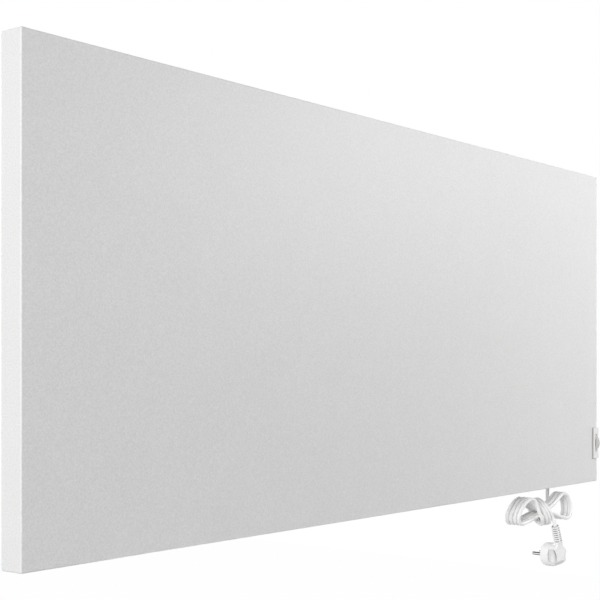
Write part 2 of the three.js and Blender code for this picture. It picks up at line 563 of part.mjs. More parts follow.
// A point of the turns wrapped round the waist, from the front of the hank. The first turn lies loose.
const WRAP_TURN = new THREE.Quaternion().setFromUnitVectors(
  new THREE.Vector3(1, 0, 0),
  new THREE.Vector3(1, WRAP.lean, -WRAP.skew).normalize(),
);
function wrapPoint(turn) {
  const angle = Math.PI / 2 + 2 * Math.PI * turn;
  const ring = new THREE.Vector3(0, WRAP.radius * Math.cos(angle), -WRAP.radius * Math.sin(angle))
    .applyQuaternion(WRAP_TURN);
  const along = WRAP.pitch * (turn - WRAP.turns / 2) - WRAP.loose * Math.max(0, 1 - turn) ** 2;
  return [along + ring.x, ring.y - WRAP.below, ring.z];
}

function hankPath() {
  const low = -HANK.waist - HANK.sag;
  const path = [[HANK.start, low, 1.5 * HANK.layer], [HANK.start - CORD, low, 1.5 * HANK.layer]];
  const loopSteps = Math.round((HANK.loops + 0.375) * HANK.steps);
  for (let i = 0; i <= loopSteps; i += 1) path.push(loopPoint(i / HANK.steps));
  const wayAt = (turn) => new THREE.Vector3(...wrapPoint(turn + 0.002))
    .sub(new THREE.Vector3(...wrapPoint(turn - 0.002))).normalize();
  const from = new THREE.Vector3(...path.at(-1));
  const to = new THREE.Vector3(...wrapPoint(0));
  const pull = 0.42 * from.distanceTo(to);
  const over = new THREE.CubicBezierCurve3(from, from.clone().add(new THREE.Vector3(pull, 0, 0)),
    to.clone().addScaledVector(wayAt(0), -pull), to);
  const overSteps = HANK.steps / 4;
  for (let i = 1; i < overSteps; i += 1) path.push(over.getPoint(i / overSteps).toArray());
  for (let i = 0; i <= WRAP.turns * HANK.steps; i += 1) path.push(wrapPoint(i / HANK.steps));
  path.push(new THREE.Vector3(...path.at(-1)).addScaledVector(wayAt(WRAP.turns), CORD).toArray());
  return path.map((point) => new THREE.Vector3(...inHank(point)));
}

// One unbroken tube through the points, its section carried along without twist.
function sweep(path, radius, sides) {
  const positions = [];
  const indices = [];
  const tangent = (i) => path[Math.min(i + 1, path.length - 1)].clone()
    .sub(path[Math.max(i - 1, 0)]).normalize();
  let normal = new THREE.Vector3(0, 1, 0);
  path.forEach((point, i) => {
    const ahead = tangent(i);
    normal = normal.clone().addScaledVector(ahead, -normal.dot(ahead)).normalize();
    const side = ahead.clone().cross(normal);
    for (let k = 0; k < sides; k += 1) {
      const angle = (2 * Math.PI * k) / sides;
      positions.push(...point.clone().addScaledVector(normal, radius * Math.cos(angle))
        .addScaledVector(side, radius * Math.sin(angle)).toArray());
    }
  });
  for (let i = 0; i + 1 < path.length; i += 1) {
    for (let k = 0; k < sides; k += 1) {
      const a = i * sides + k;
      const b = i * sides + ((k + 1) % sides);
      indices.push(a, b, a + sides, b, b + sides, a + sides);
    }
  }
  const last = (path.length - 1) * sides;
  for (let k = 1; k + 1 < sides; k += 1) {
    indices.push(0, k + 1, k);
    indices.push(last, last + k, last + k + 1);
  }
  const geometry = new THREE.BufferGeometry();
  geometry.setAttribute('position', new THREE.BufferAttribute(Float32Array.from(positions), 3));
  geometry.setIndex(indices);
  geometry.computeVertexNormals();
  return geometry;
}

// The least gap between two stretches of the path that are more than `skip` apart along it.
function leastGap(path, diameter, skip) {
  const points = [];
  let run = 0;
  path.slice(1).forEach((to, i) => {
    const span = to.distanceTo(path[i]);
    for (let t = 0; t < span; t += 1) points.push([path[i].clone().lerp(to, t / span), run + t]);
    run += span;
  });
  let least = Infinity;
  points.forEach(([a, at], i) => {
    for (let j = i + 1; j < points.length; j += 1) {
      if (points[j][1] - at > skip) least = Math.min(least, a.distanceTo(points[j][0]));
    }
  });
  return { gap: least - diameter, length: run };
}

const hank = hankPath();
add('cord_hank', sweep(hank, CORD / 2, HANK.sides), pvc());
const measured = leastGap(hank, CORD, 30);
console.log(`cord_hank: length ${measured.length.toFixed(0)} mm, least gap ${measured.gap.toFixed(2)} mm`);

// From the gland down behind the panel and the hank, then a wide quarter bend into the hank's lower run.
const start = hank[0];
const outward = start.clone().sub(hank[1]).normalize();
const fromStart = (right, back, up) => [start.x + right, start.y + back, start.z + up];
const drop = [
  [GLAND.x, GLAND.depth, GLAND_TIP - FIT],
  [GLAND.x, GLAND.depth, GLAND_TIP - 11],
  [GLAND.x + 1.4, GLAND.depth + 0.8, GLAND_TIP - 25],
  [GLAND.x + 4.4, GLAND.depth + 2.6, GLAND_TIP - 43],
  [GLAND.x + 6, GLAND.depth + 3.8, GLAND_TIP - 59],
  [GLAND.x + 6.2, GLAND.depth + 4, GLAND_TIP - 69],
  fromStart(27.4, 8, 18.5),
  fromStart(25.2, 6.2, 12.5),
  fromStart(21.7, 3.9, 7.3),
  fromStart(17.1, 1.6, 3.3),
  fromStart(11.7, 0.1, 0.8),
  start.clone().addScaledVector(outward, CORD).toArray(),
  start.clone().addScaledVector(outward, FIT).toArray(),
];
add('cord_drop', strand(drop, CORD, 26, 12), pvc());

const tailStart = hank.at(-1);
const falling = tailStart.clone().sub(hank.at(-2)).normalize();
const reliefTop = new THREE.Vector3(...RELIEF.top);
const reliefFoot = new THREE.Vector3(...RELIEF.foot);
const reliefWay = reliefFoot.clone().sub(reliefTop).normalize();
const tail = [
  tailStart.clone().addScaledVector(falling, FIT),
  tailStart.clone().addScaledVector(falling, 3),
  reliefTop.clone().addScaledVector(reliefWay, -3),
  reliefTop.clone().addScaledVector(reliefWay, -FIT),
].map((point) => point.toArray());
add('cord_tail', strand(tail, CORD, 6, 12), pvc());

// ---------------------------------------------------------------- plug
const RELIEF_TURN = new THREE.Quaternion().setFromUnitVectors(new THREE.Vector3(0, 0, 1), reliefWay);
function plugRelief() {
  const length = reliefTop.distanceTo(reliefFoot);
  const pitch = (length - RELIEF.collar) / RELIEF.ribs;
  const profile = [[0, 0]];
  for (let i = 0; i < RELIEF.ribs; i += 1) {
    const radius = RELIEF.tip + ((RELIEF.radius - RELIEF.tip) * i) / (RELIEF.ribs - 1);
    const at = pitch * i;
    const core = radius - RELIEF.groove;
    profile.push([radius, at], [radius, at + pitch * 0.52], [core, at + pitch * 0.6], [core, at + pitch * 0.95]);
  }
  profile.push([RELIEF.radius, length - RELIEF.collar], [RELIEF.radius, length], [0, length]);
  return turned(profile, 16).applyQuaternion(RELIEF_TURN);
}
add('plug_strain_relief', plugRelief(), pvc(), RELIEF.top);

const plug = new THREE.Group();
plug.position.set(PLUG.x, PLUG.depth, PLUG.z);
plug.rotation.z = -THREE.MathUtils.degToRad(PLUG.turn);
plug.updateMatrix();
panel.add(plug);
const addToPlug = (name, geometry, material, position = [0, 0, 0]) => add(name, geometry, material, position, plug);

// The hand grip: its back slants out to a lip behind a finger hollow on each side; a neck goes up to the relief.
function plugGrip() {
  const { radius, back, backRadius } = PLUG;
  const seam = PLUG.seam - FIT;
  const side = alongX([[9, 19], [seam, 19], [seam, -radius], [10.5, -15.1], [6.3, -11.3], [3.6, -8.5], [back, -6.7],
    [6.8, 13.4]].reverse(), -radius, radius);
  const round = bar('y', backRadius, back - 1, seam, 0, 0, 40, radius);
  const neck = bar('z', 9.5, 4, 23, 0, 10, 24, 6.6);
  const slab = block(-20, 20, 6, seam, 0, 30);
  // Everything above the strain relief's foot, in the relief's own leaning frame.
  const above = block(-15, 15, -15, 15, -30, FIT).applyQuaternion(RELIEF_TURN)
    .translate(...reliefFoot.toArray()).applyMatrix4(plug.matrix.clone().invert());
  const hollows = [-1, 1].map((hand) => {
    const ball = new THREE.SphereGeometry(1, 24, 16).scale(7, 7.5, 17).rotateX(-0.19);
    return ball.translate(hand * (backRadius + 3), 10.9, -2.5);
  });
  const body = join(common(side, round), common(neck, slab));
  return cut(body, above, ...hollows);
}
addToPlug('plug_grip', plugGrip(), whitePlastic());

function plugFace() {
  const { radius, seam, face } = PLUG;
  const disc = turned([[0, 0], [radius - 0.4, 0], [radius, 0.6], [radius, face - seam - 1.6],
    [radius - 1.4, face - seam], [0, face - seam]], 40).rotateX(-Math.PI / 2).translate(0, seam, 0);
  const grooves = [-1, 1].map((hand) => {
    const low = hand > 0 ? radius - 2.6 : -radius - 1;
    return block(-4.6, 4.6, seam + 2, face + 1, low, low + 3.6);
  });
  const socket = bar('y', 2.6, face - 9, face + 1, 0, 9.5, 16);
  return cut(disc, ...grooves, socket);
}
addToPlug('plug_face', plugFace(), whitePlastic());

const plugPin = () => turned([[0, 0], [PLUG.pin, 0], [PLUG.pin, PLUG.pinLength - 1.6],
  [PLUG.pin * 0.6, PLUG.pinLength - 0.3], [0, PLUG.pinLength - FIT]], 16).rotateX(-Math.PI / 2);
addToPlug('plug_pin_left', plugPin(), nickel(), [-PLUG.pinSpacing / 2, PLUG.face + FIT, 0]);
addToPlug('plug_pin_right', plugPin(), nickel(), [PLUG.pinSpacing / 2, PLUG.face + FIT, 0]);

function earthClip(hand) {
  const bed = hand * (PLUG.radius - 2.6 + FIT);
  const crest = hand * (PLUG.radius - 0.3);
  const low = PLUG.seam + 2.6;
  const high = PLUG.face - 0.8;
  const middle = (low + high) / 2;
  const skin = hand * 0.7;
  const outline = [[low, bed], [high, bed], [high, bed + skin], [middle + 2, crest], [middle - 2, crest],
    [low, bed + skin]];
  return alongX(hand > 0 ? outline : outline.reverse(), -3.4, 3.4);
}
addToPlug('earth_clip_top', earthClip(1), nickel());
addToPlug('earth_clip_bottom', earthClip(-1), nickel());

export default root;
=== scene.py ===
"""A wall-hung infrared panel heater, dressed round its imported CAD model.

Shapes are made in millimetres of the panel's own frame: x from its middle, y the depth behind its
front face and z the height above its lower edge. Publishing a piece takes it to metres in the row's
frame.
"""

from __future__ import annotations

import json
import logging
import math
from contextlib import contextmanager
from dataclasses import dataclass
from enum import Enum
from functools import lru_cache
from typing import Any, Callable, Iterator, Mapping, Sequence

import bmesh
import bpy
from mathutils import Matrix, Vector

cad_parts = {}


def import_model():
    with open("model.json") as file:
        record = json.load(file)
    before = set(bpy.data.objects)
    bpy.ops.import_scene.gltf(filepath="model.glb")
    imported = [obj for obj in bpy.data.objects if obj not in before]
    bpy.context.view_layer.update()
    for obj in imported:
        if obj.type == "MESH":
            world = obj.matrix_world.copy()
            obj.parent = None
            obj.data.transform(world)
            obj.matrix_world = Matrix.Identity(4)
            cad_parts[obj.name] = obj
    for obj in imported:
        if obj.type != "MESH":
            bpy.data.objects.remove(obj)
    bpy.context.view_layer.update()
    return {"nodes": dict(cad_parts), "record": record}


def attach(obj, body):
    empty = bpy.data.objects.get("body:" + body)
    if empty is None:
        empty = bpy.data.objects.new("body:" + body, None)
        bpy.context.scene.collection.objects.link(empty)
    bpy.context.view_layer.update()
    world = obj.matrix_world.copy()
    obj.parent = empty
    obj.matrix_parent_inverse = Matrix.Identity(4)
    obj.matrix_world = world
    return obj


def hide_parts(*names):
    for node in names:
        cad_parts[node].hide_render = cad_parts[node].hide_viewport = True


LOG = logging.getLogger("heater")

Point = tuple[float, float, float]
Pair = tuple[float, float]
Colour = tuple[float, float, float]

MM = 0.001                                    # a millimetre in metres
WALL_DEPTH = 55.0                             # of the wall behind the panel's front face
RAIL_HEIGHT = 377.0                           # of the row's origin above the panel's lower edge
PANEL_TO_ROW = Matrix.Scale(MM, 4) @ Matrix.Translation((0.0, -WALL_DEPTH, -RAIL_HEIGHT))

PLUG_PLACE: Point = (475.0, -2.4, -108.5)     # of the plug's own middle, level with its pins
PLUG_TURN = 7.0                               # of its pins to the right, in degrees
RELIEF_TOP: Point = (466.0, 7.5, -62.0)       # where the lead goes into its strain relief
RELIEF_FOOT: Point = (476.2, 7.5, -88.0)      # where the strain relief stands on the grip

NEAR = 0.01                                   # two places closer than this are the same
ORIGIN: Point = (0.0, 0.0, 0.0)
PLAIN: Point = (1.0, 1.0, 1.0)                # no stretch along any axis
BLACK: Colour = (0.0, 0.0, 0.0)
WHITE: Colour = (1.0, 1.0, 1.0)


def row(x: float, depth: float, up: float) -> Vector:
    """A point of the panel's frame, in metres of the row's frame.

    Args:
        x: millimetres from the panel's middle.
        depth: millimetres behind the front face.
        up: millimetres above the lower edge.

    Returns:
        The point in metres.
    """
    return PANEL_TO_ROW @ Vector((x, depth, up))


class Body(Enum):
    """The bodies that pieces ride on."""

    RAIL = "rail"
    PANEL = "panel"
    WHEEL = "wheel"


class Slot(Enum):
    """The record's material slots."""

    ENAMEL = "enamel"
    ZINC = "zinc"
    STEEL = "steel"
    WHITE_PLASTIC = "white_plastic"
    GREY_PLASTIC = "grey_plastic"
    BRASS = "brass"
    NICKEL = "nickel"
    PVC = "pvc"
    RUBBER = "rubber"
    WOOL = "wool"
    FOIL = "foil"
    MICA = "mica"
    SILICONE = "silicone"
    CERAMIC = "ceramic"
    WIRE_BROWN = "wire_brown"
    WIRE_BLUE = "wire_blue"
    WIRE_GREEN = "wire_green"
    WIRE_GREY = "wire_grey"


class Element(Enum):
    """What is selected in edit mode."""

    FACE = "FACE"
    EDGE = "EDGE"


@dataclass(frozen=True)
class Hollow:
    """The egg-shaped hollow in each side of the plug's grip, from the plug's own middle."""

    middle: Point = (20.0, 9.6, -3.0)
    radii: Point = (8.6, 8.4, 16.5)
    lean: float = 0.19


HOLLOW = Hollow()


# ---------------------------------------------------------------------------------------- materials


class Signal:
    """A number in a material's nodes, which Python's operators carry on with Math nodes."""

    def __init__(self, graph: Graph, socket: bpy.types.NodeSocket) -> None:
        """Wraps an output socket of the graph."""
        self.graph = graph
        self.socket = socket

    def __add__(self, other: Signal | float) -> Signal:
        """The sum."""
        return self.graph.math("ADD", self, other)

    __radd__ = __add__

    def __sub__(self, other: Signal | float) -> Signal:
        """The difference."""
        return self.graph.math("SUBTRACT", self, other)

    def __rsub__(self, other: float) -> Signal:
        """The difference, taken from a number."""
        return self.graph.math("SUBTRACT", other, self)

    def __mul__(self, other: Signal | float) -> Signal:
        """The product."""
        return self.graph.math("MULTIPLY", self, other)

    __rmul__ = __mul__

    def __pow__(self, other: float) -> Signal:
        """The power."""
        return self.graph.math("POWER", self, other)


class Graph:
    """The nodes of one material or of the world."""

    def __init__(self, tree: bpy.types.NodeTree) -> None:
        """Empties the tree and starts on it."""
        tree.nodes.clear()
        self.tree = tree

    def node(
        self,
        kind: str,
        settings: Mapping[str, Any] | None = None,
        values: Mapping[str | int, Any] | None = None,
        output: str | int = 0,
    ) -> Signal:
        """Makes a node.

        Args:
            kind: the node's type.
            settings: its settings, set before its sockets; "stops" are a ramp's two places and
                colours.
            values: a value or a signal for each named or numbered input.
            output: the output that the signal carries.

        Returns:
            The signal of that output.
        """
        made = self.tree.nodes.new(kind)
        for name, value in (settings or {}).items():
            if name == "stops":
                for element, (place, colour) in zip(made.color_ramp.elements, value):
                    element.position = place
                    element.color = (*colour, 1.0)
            else:
                setattr(made, name, value)
        for name, value in (values or {}).items():
            if isinstance(value, Signal):
                self.tree.links.new(value.socket, made.inputs[name])
            else:
                made.inputs[name].default_value = value
        outputs = made.outputs
        return Signal(self, outputs[output] if len(outputs) else None)

    def math(self, operation: str, *terms: Signal | float) -> Signal:
        """A Math node.

        Args:
            operation: Blender's name of the operation.
            *terms: its signals and numbers, in order.

        Returns:
            The result.
        """
        return self.node("ShaderNodeMath", {"operation": operation}, dict(enumerate(terms)))

    def vector(self, operation: str, *terms: Any, output: int = 0) -> Signal:
        """A Vector Math node.

        Args:
            operation: Blender's name of the operation.
            *terms: its signals and vectors, in order.
            output: 0 for its vector and 1 for its number.

        Returns:
            The result.
        """
        return self.node(
            "ShaderNodeVectorMath", {"operation": operation}, dict(enumerate(terms)), output
        )

    def split(self, vector: Signal, axis: str) -> Signal:
        """One part of a vector."""
        return self.node("ShaderNodeSeparateXYZ", None, {"Vector": vector}, axis)

    def step(self, value: Signal, low: float, high: float) -> Signal:
        """A straight rise from 0 to 1.

        Args:
            value: what it follows.
            low: where it leaves 0.
            high: where it reaches 1.

        Returns:
            The rise.
        """
        stops = ((low, BLACK), (high, WHITE))
        return self.node("ShaderNodeValToRGB", {"stops": stops}, {0: value})

    def place(self, stretch: Point = PLAIN) -> Signal:
        """The place on the object, stretched along its axes.

        Args:
            stretch: the factor along X, Y and Z.

        Returns:
            The vector.
        """
        here = self.node("ShaderNodeTexCoord", output="Object")
        if stretch == PLAIN:
            return here
        return self.node(
            "ShaderNodeMapping", {"vector_type": "POINT"}, {"Vector": here, "Scale": stretch}
        )

    def noise(self, size: float, detail: float = 2.0, place: Signal | None = None) -> Signal:
        """Soft noise from 0 to 1.

        Args:
            size: the size of its grains in millimetres.
            detail: its octaves.
            place: the vector that it reads, or none for the plain place.

        Returns:
            The noise.
        """
        return self.node(
            "ShaderNodeTexNoise", None,
            {"Vector": place or self.place(), "Scale": 1.0 / (size * MM), "Detail": detail},
        )

    def cells(self, size: float, place: Signal) -> Signal:
        """Irregular cells, each with a colour of its own.

        Args:
            size: the size of a cell in millimetres.
            place: the vector that they read.

        Returns:
            The colour.
        """
        return self.node(
            "ShaderNodeTexVoronoi", None, {"Vector": place, "Scale": 1.0 / (size * MM)}, "Color"
        )

    def blend(self, factor: Signal | float, low: Any, high: Any) -> Signal:
        """A colour between two.

        Args:
            factor: 0 for the first and 1 for the second.
            low: the first colour, or its signal.
            high: the second colour, or its signal.

        Returns:
            The colour.
        """
        first, second = (c if isinstance(c, Signal) else (*c, 1.0) for c in (low, high))
        return self.node(
            "ShaderNodeMix", {"data_type": "RGBA"}, {0: factor, 6: first, 7: second}, 2
        )

    def bump(self, height: Signal, depth: float) -> Signal:
        """A normal for small relief.

        Args:
            height: the relief, from 0 to 1.
            depth: the height of 1 in millimetres.

        Returns:
            The normal.
        """
        return self.node("ShaderNodeBump", None, {"Distance": depth * MM, "Height": height})


def shade(colour: Colour, factor: float) -> Colour:
    """A colour made lighter or darker by a factor."""
    return tuple(min(1.0, part * factor) for part in colour)


@dataclass(frozen=True)
class Finish:
    """A surface: its name, colour and roughness. Each kind adds the detail of the real one."""

    name: str
    colour: Colour
    roughness: float = 0.5
    metallic: float = 0.0

    def tones(self, graph: Graph, factor: Signal, dark: float, light: float) -> Signal:
        """The finish's colour, between a darker and a lighter shade of it.

        Args:
            graph: the material's nodes.
            factor: 0 for the darker shade and 1 for the lighter one.
            dark: how bright the darker shade is, as a share of the colour.
            light: how bright the lighter one is.

        Returns:
            The colour.
        """
        return graph.blend(factor, shade(self.colour, dark), shade(self.colour, light))

    def rough(self, *parts: tuple[Signal, float]) -> Signal:
        """The finish's roughness, spread about its mean.

        Args:
            *parts: noises, and how far each spreads it.

        Returns:
            The roughness.
        """
        value: Signal | float = self.roughness - sum(spread for _, spread in parts) / 2.0
        for noise, spread in parts:
            value = noise * spread + value
        return value

    def detail(self, graph: Graph) -> dict[str, Signal]:
        """What changes over the surface, which each kind of finish says for itself.

        Args:
            graph: the material's nodes.

        Returns:
            Signals by the name of the shader's input.
        """
        raise NotImplementedError

    def material(self) -> bpy.types.Material:
        """The finish as a material."""
        made = bpy.data.materials.new(self.name)
        made.use_nodes = True
        graph = Graph(made.node_tree)
        values = {
            "Base Color": (*self.colour, 1.0),
            "Roughness": self.roughness,
            "Metallic": self.metallic,
            **self.detail(graph),
        }
        shader = graph.node("ShaderNodeBsdfPrincipled", None, values)
        graph.node("ShaderNodeOutputMaterial", None, {"Surface": shader})
        return made


@lru_cache(maxsize=None)
def material_of(finish: Finish) -> bpy.types.Material:
    """The one material of a finish."""
    return finish.material()


@dataclass(frozen=True)
class PowderCoat(Finish):
    """Fine-textured powder coat: a sandy grain, and the slight unevenness of the coat below it."""

    grain: float = 1.6
    relief: float = 0.16
    unevenness: float = 45.0
    contrast: float = 0.23
    grain_share: float = 0.8
    uneven_share: float = 0.07

    def detail(self, graph: Graph) -> dict[str, Signal]:
        """The grain, and the broad unevenness of the baked coat."""
        grain = graph.noise(self.grain, 3.0)
        broad = graph.noise(self.unevenness, 1.0)
        rest = (1.0 - self.grain_share - self.uneven_share) / 2.0
        tone = grain * self.grain_share + broad * self.uneven_share + rest
        return {
            "Base Color": self.tones(graph, tone, 1.0 - self.contrast, 1.0 + self.contrast),
            "Roughness": self.rough((grain, 0.16)),
            "Normal": graph.bump(grain, self.relief),
        }


@dataclass(frozen=True)
class Moulded(Finish):
    """Injection-moulded plastic with the fine matt texture of an eroded mould."""

    texture: float = 0.5
    relief: float = 0.012
    flow: float = 14.0

    def detail(self, graph: Graph) -> dict[str, Signal]:
        """The eroded texture, and the slow change of tone in a thick moulding."""
        eroded = graph.noise(self.texture)
        return {
            "Base Color": self.tones(graph, graph.noise(self.flow, 1.0), 0.975, 1.02),
            "Roughness": self.rough((eroded, 0.14)),
            "Normal": graph.bump(eroded, self.relief),
        }


@dataclass(frozen=True)
class SoftSheath(Finish):
    """Extruded soft PVC: smooth, with faint dents where it was bent and bundled."""

    dent: float = 3.2
    dent_depth: float = 0.05
    dust: float = 0.7

    def detail(self, graph: Graph) -> dict[str, Signal]:
        """Faint dents, and the dust that dulls it."""
        dents = graph.noise(self.dent)
        return {
            "Base Color": self.tones(graph, dents, 0.95, 1.03),
            "Roughness": self.rough((graph.noise(self.dust), 0.12)),
            "Normal": graph.bump(dents, self.dent_depth),
        }


@dataclass(frozen=True)
class Galvanised(Finish):
    """Zinc-coated sheet: dull spangles that mirror a little differently, and fine scratches."""

    spangle: float = 7.0
    waver: float = 0.004
    waver_scale: float = 180.0
    scratch: float = 0.6
    scratch_depth: float = 0.006

    def detail(self, graph: Graph) -> dict[str, Signal]:
        """The spangles' tone and gloss, with wavering edges, and the scratches along the sheet."""
        wave = graph.node(
            "ShaderNodeTexNoise", None,
            {"Vector": graph.place(), "Scale": self.waver_scale}, "Color",
        )
        bent = graph.vector("MULTIPLY_ADD", wave, (self.waver,) * 3, graph.place())
        crystal = graph.node(
            "ShaderNodeSeparateColor", None, {"Color": graph.cells(self.spangle, bent)}
        )
        scratch = graph.noise(self.scratch, place=graph.place((0.04, 1.0, 1.0)))
        return {
            "Base Color": self.tones(graph, crystal, 0.84, 1.12),
            "Roughness": self.rough((crystal, 0.16), (scratch, 0.1)),
            "Normal": graph.bump(scratch, self.scratch_depth),
        }


@dataclass(frozen=True)
class Drawn(Finish):
    """Rolled, drawn or turned metal with its lines along one axis."""

    lines: Point = (1.0, 0.05, 1.0)
    line: float = 0.25
    line_depth: float = 0.004
    tarnish: float = 3.0

    def detail(self, graph: Graph) -> dict[str, Signal]:
        """The lines that the tool left, and a thin uneven tarnish."""
        line = graph.noise(self.line, place=graph.place(self.lines))
        tarnish = graph.noise(self.tarnish, 3.0)
        return {
            "Base Color": self.tones(graph, tarnish, 0.88, 1.06),
            "Roughness": self.rough((line, 0.12), (tarnish, 0.08)),
            "Normal": graph.bump(line, self.line_depth),
        }


@dataclass(frozen=True)
class Plated(Finish):
    """Bright plating on a level bar, with painted shade as dark bands along the bar's top and its
    underside.
    """

    height: float = 0.0
    half: float = 2.4
    ring: float = 0.3

    def detail(self, graph: Graph) -> dict[str, Signal]:
        """Painted shade as dark upper and lower bands, and faint rings from turning."""
        up = graph.split(graph.place(), "Z")
        off = graph.math("ABSOLUTE", (up - self.height) * (1.0 / (self.half * MM)))
        # painted shade: the round pin's top and underside painted near black and not metallic,
        # where its shading falls
        painted_shade_band = graph.step(off, 0.26, 0.5)
        ring = graph.noise(self.ring, place=graph.place((0.1, 1.0, 0.1)))
        return {
            "Base Color": graph.blend(painted_shade_band, self.colour, shade(self.colour, 0.02)),
            "Metallic": 1.0 - painted_shade_band,
            "Roughness": painted_shade_band * 0.5 + self.rough((ring, 0.1)),
        }


@dataclass(frozen=True)
class Grooved(Moulded):
    """Soft moulded plastic of a round ribbed piece, with painted shade in its grooves."""

    start: Point = (0.0, 0.0, 0.0)
    end: Point = (0.0, 0.0, 1.0)
    radii: Pair = (6.0, 6.8)
    depth: float = 2.0
    # painted shade: how dark the grooves are painted, as a share of the colour
    groove_painted_shade: float = 0.5

    def detail(self, graph: Graph) -> dict[str, Signal]:
        """The mould's texture, with painted shade that grows darker the deeper it lies below the
        ribs.
        """
        tip, foot = row(*self.start), row(*self.end)
        way = (foot - tip).normalized()
        from_tip = graph.vector("SUBTRACT", graph.place(), tuple(tip))
        along = graph.vector("DOT_PRODUCT", from_tip, tuple(way), output=1)
        far = graph.vector("LENGTH", from_tip, output=1)
        out = graph.math("SQRT", graph.math("MAXIMUM", far * far - along * along, 0.0))
        taper = (self.radii[1] - self.radii[0]) * MM / (foot - tip).length
        below = (along * taper + self.radii[0] * MM - out) * (1.0 / (self.depth * MM))
        # painted shade: the colour darkens below the ribs, where shade falls in the grooves
        dark = shade(self.colour, self.groove_painted_shade)
        return {
            **super().detail(graph),
            "Base Color": graph.blend(graph.step(below, 0.25, 0.6), self.colour, dark),
        }


@dataclass(frozen=True)
class Handled(Moulded):
    """Moulded plastic of the plug's grip, with painted shade in its two hollows and a painted
    shadow along their rear edge.
    """

    # painted shade in the hollows and painted shadow along their rear edge, as shares of the colour
    hollow_painted_shade: float = 0.78
    edge_painted_shadow: float = 0.17

    def detail(self, graph: Graph) -> dict[str, Signal]:
        """The mould's texture, with painted shade a little darker in the hollows and a painted
        shadow along their rear edge.
        """
        angle = math.radians(PLUG_TURN)
        shift = -(Matrix.Rotation(angle, 3, "Z") @ row(*PLUG_PLACE)) / MM
        local = graph.node(
            "ShaderNodeMapping", {"vector_type": "POINT"},
            {"Vector": graph.place(), "Scale": (1.0 / MM,) * 3, "Rotation": (0.0, 0.0, angle),
             "Location": tuple(shift)},
        )
        x, y, z = (graph.split(local, axis) for axis in "XYZ")
        middle, radii = HOLLOW.middle, HOLLOW.radii
        across = (graph.math("ABSOLUTE", x) - middle[0]) * (1.0 / radii[0])
        back, up = y - middle[1], z - middle[2]
        cosine, sine = math.cos(HOLLOW.lean), math.sin(HOLLOW.lean)
        deep = (back * cosine - up * sine) * (1.0 / radii[1])
        tall = (back * sine + up * cosine) * (1.0 / radii[2])
        shell = across * across + deep * deep + tall * tall
        # painted shade: the hollows darkened, and a painted shadow along their rear edge under the
        # lip
        inside = 1.0 - graph.step(shell * 0.5, 0.54, 0.6)
        edge = graph.step(-1.0 * deep, 0.26, 0.6)
        held = graph.blend(inside, self.colour, shade(self.colour, self.hollow_painted_shade))
        dark = shade(self.colour, self.edge_painted_shadow)
        return {**super().detail(graph), "Base Color": graph.blend(inside * edge, held, dark)}


@dataclass(frozen=True)
class Rubbery(Finish):
    """Moulded rubber: matt, with pale dust in its pores."""

    pore: float = 0.8
    pore_depth: float = 0.03

    def detail(self, graph: Graph) -> dict[str, Signal]:
        """Pores, and the dust that has settled in them."""
        pores = graph.noise(self.pore, 3.0)
        return {
            "Base Color": self.tones(graph, pores ** 3.0, 1.0, 2.2),
            "Roughness": self.rough((pores, 0.2)),
            "Normal": graph.bump(pores, self.pore_depth),
        }


@dataclass(frozen=True)
class Fibrous(Finish):
    """Pressed fibres or flakes that lie along the sheet."""

    fibre: float = 1.5
    felt_depth: float = 0.25

    def detail(self, graph: Graph) -> dict[str, Signal]:
        """Long and short fibres in two tones."""
        along = graph.noise(self.fibre, 3.0, graph.place((0.12, 1.0, 1.0)))
        across = graph.noise(self.fibre * 2.0)
        felt = along * 0.6 + across * 0.4
        return {
            "Base Color": self.tones(graph, felt, 0.72, 1.25),
            "Normal": graph.bump(felt, self.felt_depth),
        }


@dataclass(frozen=True)
class Striped(Finish):
    """Core insulation with a second colour wound round it."""

    second: Colour = (0.62, 0.55, 0.05)
    stripes: float = 90.0

    def detail(self, graph: Graph) -> dict[str, Signal]:
        """The stripes of the second colour."""
        bands = graph.node(
            "ShaderNodeTexWave", {"bands_direction": "DIAGONAL"},
            {"Vector": graph.place(), "Scale": self.stripes}, 1,
        )
        return {
            "Base Color": graph.blend(graph.step(bands, 0.6, 0.66), self.colour, self.second),
            "Roughness": self.rough((graph.noise(1.0), 0.1)),
        }


PAINT = PowderCoat("powder_coat_white", (0.71, 0.71, 0.708), 0.47)
CAP_PLASTIC = Moulded("plastic_white", (0.80, 0.80, 0.792), 0.42)
BASE_PLASTIC = Moulded("plastic_grey", (0.42, 0.42, 0.42), 0.5)
WHEEL_PLASTIC = Moulded("plastic_pale_grey", (0.54, 0.54, 0.54), 0.42)
PLUG_PLASTIC = Moulded("plug_white", (0.85, 0.85, 0.846), 0.4, texture=0.7)
GRIP_PLASTIC = Handled("grip_white", PLUG_PLASTIC.colour, 0.4, texture=0.7)
RELIEF_PLASTIC = Grooved(
    "relief_white", PLUG_PLASTIC.colour, 0.45, start=RELIEF_TOP, end=RELIEF_FOOT
)
SHEATH = SoftSheath("sheath_white", (0.88, 0.88, 0.875), 0.38)
SPANGLED = Galvanised("galvanised_sheet", (0.52, 0.535, 0.55), 0.42, 0.85)
SCREW_ZINC = Drawn("screw_zinc", (0.58, 0.59, 0.6), 0.34, 1.0, lines=(1.0, 1.0, 0.1))
CLIP_NICKEL = Drawn("nickel_plate", (0.66, 0.655, 0.64), 0.2, 1.0, lines=(0.1, 1.0, 0.1))
PIN_NICKEL = Plated(
    "nickel_pin", (0.80, 0.795, 0.78), 0.16, 1.0, height=row(*PLUG_PLACE).z
)

